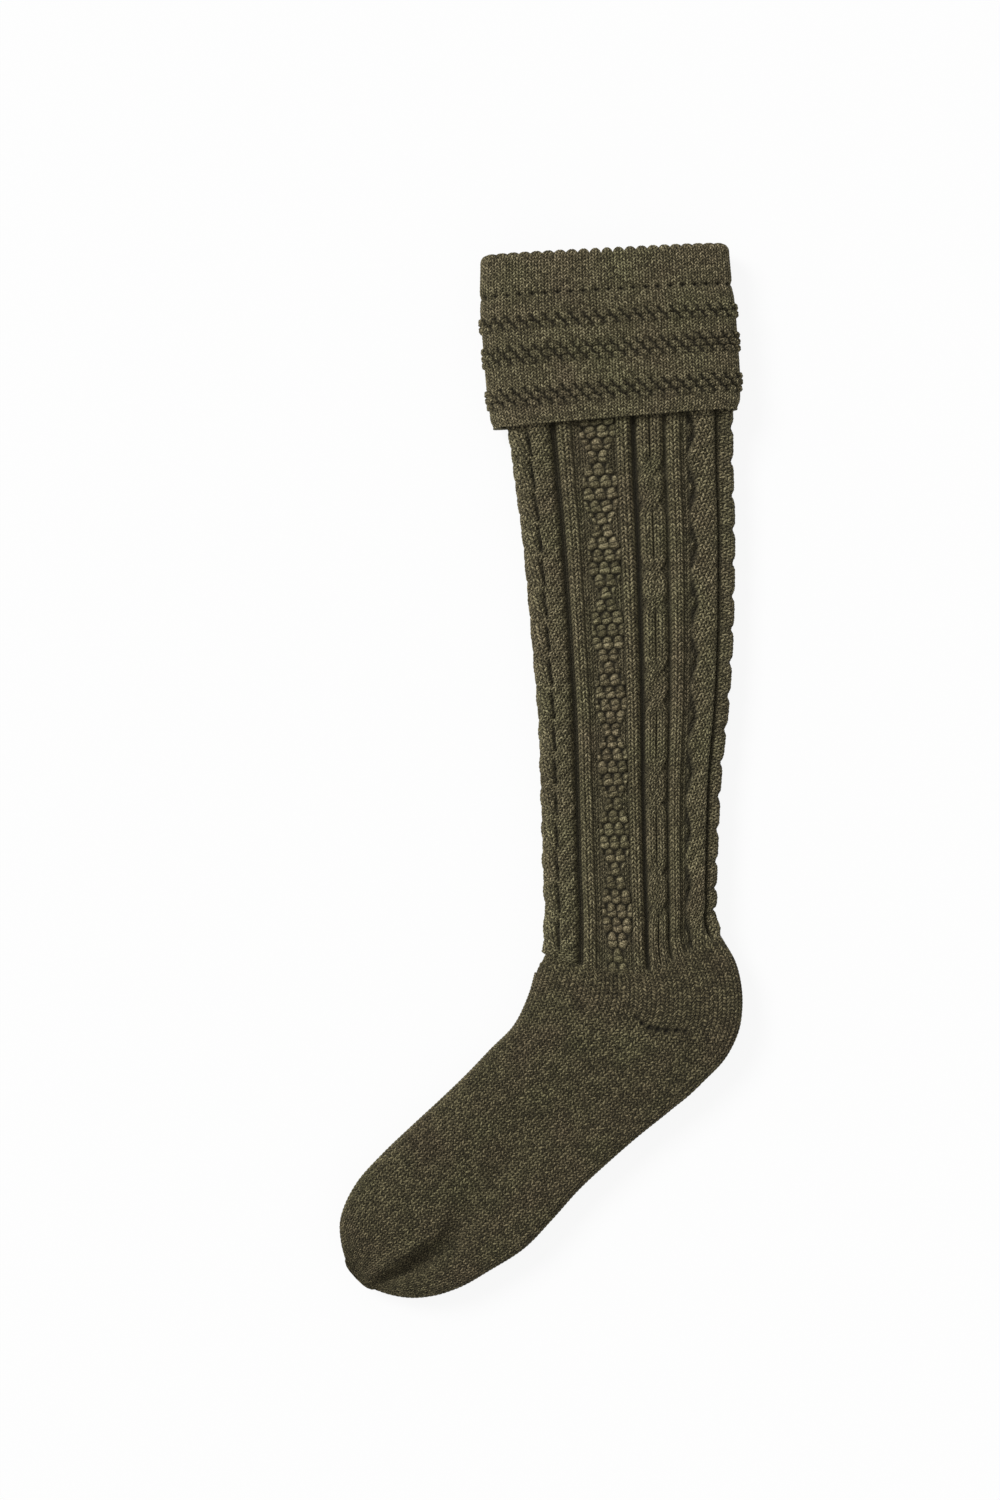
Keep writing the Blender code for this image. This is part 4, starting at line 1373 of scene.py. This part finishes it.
@dataclass
class TurnoverCuff:
    """The turned-down cuff: picots along the fold, a row of eyelets, three bands of nubs and a plain hem."""

    name: str = "cuff_knit"
    wales: int = 88
    columns_a_wale: int = 5
    course_pitch: float = 0.00175
    row_pitch: float = 0.00047
    row_step: int = 4
    wall: float = 0.0026
    picot_height: float = 0.0026
    nub_height: float = 0.0022
    bands: tuple[Band, ...] = (
        Band(BandKind.PLAIN, 0.0200, 0),
        Band(BandKind.EYELETS, 0.0228, 0),
        Band(BandKind.PLAIN, 0.0318, 0),
        Band(BandKind.NUBS, 0.0396, 2),
        Band(BandKind.PLAIN, 0.0470, 0),
        Band(BandKind.NUBS, 0.0580, 3),
        Band(BandKind.PLAIN, 0.0692, 0),
        Band(BandKind.NUBS, 0.0798, 3),
        Band(BandKind.HEM, 0.0890, 0),
    )
    stitch: Stockinette = field(default_factory=lambda: Stockinette(depth=0.0006))

    def build(self, form: SockForm, lattice: Lattice) -> bpy.types.Object:
        """Makes the cuff.

        Args:
            form: the sock's sizes.
            lattice: the surface of its seen side.

        Returns:
            The object.
        """
        bend = form.fold_radius * math.pi
        lip = rows_between(float(lattice.places[0]), 0.0, 0.0015)
        fold = rows_between(0.0, bend, 0.0009)
        outside = rows_between(bend, float(lattice.places[-1]), self.row_pitch)
        places = whole_steps(np.concatenate((lip, fold, outside)), self.row_step, float(lattice.places[-1]))
        columns = self.wales * self.columns_a_wale
        place, share = np.meshgrid(places, np.arange(columns + 1) / columns, indexing="ij")
        down = place - bend + form.fold_radius
        wale = share * self.wales
        course = down / self.course_pitch
        stitch = self.stitch.relief(wale, course)
        relief, shade = stitch.copy(), np.zeros_like(stitch)
        start = 0.0
        for band in self.bands:
            part = (down - start) / (band.end - start)
            here = ((part >= 0) & (part < 1)).astype(float)
            if band.kind is BandKind.EYELETS:
                holes = bump(part, 0.5, 0.38) * (0.5 + 0.5 * np.cos(math.pi * wale)) ** 1.6
                relief = relief - here * (0.0014 * holes + 0.0004 * bump(part, 0.5, 0.5))
                # Painted shade in the eyelets' holes.
                shade = np.maximum(shade, here * np.clip(1.15 * holes, 0, 1))
            if band.kind is BandKind.NUBS:
                knots = staggered_knots(wale / 2, np.clip(part, 0, 0.999) * band.rows, 0.30, 0.38, 0.20)
                ends = smooth_step(0.0, 0.06, part) * (1 - smooth_step(0.94, 1.0, part))
                relief = relief + here * ends * (self.nub_height * knots.height - 0.0007)
                # Painted shade between the nubs.
                shade = np.maximum(shade, here * ends * 0.90 * (1 - smooth_step(0.02, 0.50, knots.height)))
            if band.kind is BandKind.HEM:
                relief = relief + here * (0.0006 * bump(part, 0.5, 0.5) + 0.0006 * bump(part, 0.97, 0.07))
                # Painted shade along the hem's upper edge.
                shade = np.maximum(shade, here * 0.5 * bump(part, 0.0, 0.07))
            start = band.end
        near_fold = bump(place, bend / 2, 0.0050)
        picot = np.abs(np.cos(math.pi * wale / 2)) ** 0.7
        up = np.array((*form.leg_line, 0.0)) * self.picot_height
        slide = up * ((picot - 0.6) * near_fold)[..., None]
        shell = KnitShell(self.name, self.wall, self.columns_a_wale, self.row_step)
        return shell.build(lattice, Grid(place, share, wale, course), relief, np.clip(shade, 0, 1), slide)


# The leg's strips meet in its furrows. Each has its shares of the girth and its points' distance in metres.
LEG_STRIPS = (
    ("leg_knit_front", (-0.1095, 0.1095), 0.00052),
    ("leg_knit_side", (0.1095, 0.4560), 0.00053),
    ("leg_knit_back", (0.4560, 0.5440), 0.00050),
    ("leg_knit_under", (0.5440, 0.8905), 0.00085),
)


def dress(piece: bpy.types.Object, material: bpy.types.Material, node: str) -> None:
    """Gives a piece its material and its body, in place of its CAD section."""
    piece.data.materials.append(material)
    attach(piece, "root")
    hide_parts(node)
    LOG.info("%s: %d faces", piece.name, len(piece.data.polygons))


def main() -> None:
    """Builds the studio, then each section of the sock from the cuff to the toe."""
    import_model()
    studio = Studio()
    studio.camera()
    form = SockForm()
    body = form.body()
    cuff_wool = MarledWool("marled_wool_cuff_knit").make()
    leg_wool = MarledWool("marled_wool_leg_knit").make()
    # Painted shade: the heel, foot and toe wear a darker copy of the same wool, where less light falls.
    shaded_foot_wool = MarledWool(
        "marled_wool_foot_knit_painted_shade", body_hex="453F2B", light_hex="8F8564", dark_hex="211D12", stitch_shade_strength=0.80
    ).make()

    dress(TurnoverCuff().build(form, form.cuff()), cuff_wool, "turnover_cuff")
    leg = CabledLeg()
    for name, shares, step in LEG_STRIPS:
        dress(leg.build(form, body, name, shares, step), leg_wool, "leg")
    heel = ShortRowHeel().build(form, body, form.heel_start, form.foot_start)
    dress(heel, shaded_foot_wool, "heel")
    foot = PlainSection("foot_knit").build(form, body, form.foot_start, form.toe_start, 0.0, False)
    dress(foot, shaded_foot_wool, "foot")
    toe = PlainSection("toe_knit").build(form, body, form.toe_start, form.tip, 65.0, True)
    dress(toe, shaded_foot_wool, "toe")
    studio.light()


if __name__ == "__main__":
    logging.basicConfig(level=logging.INFO, format="%(message)s")
    main()
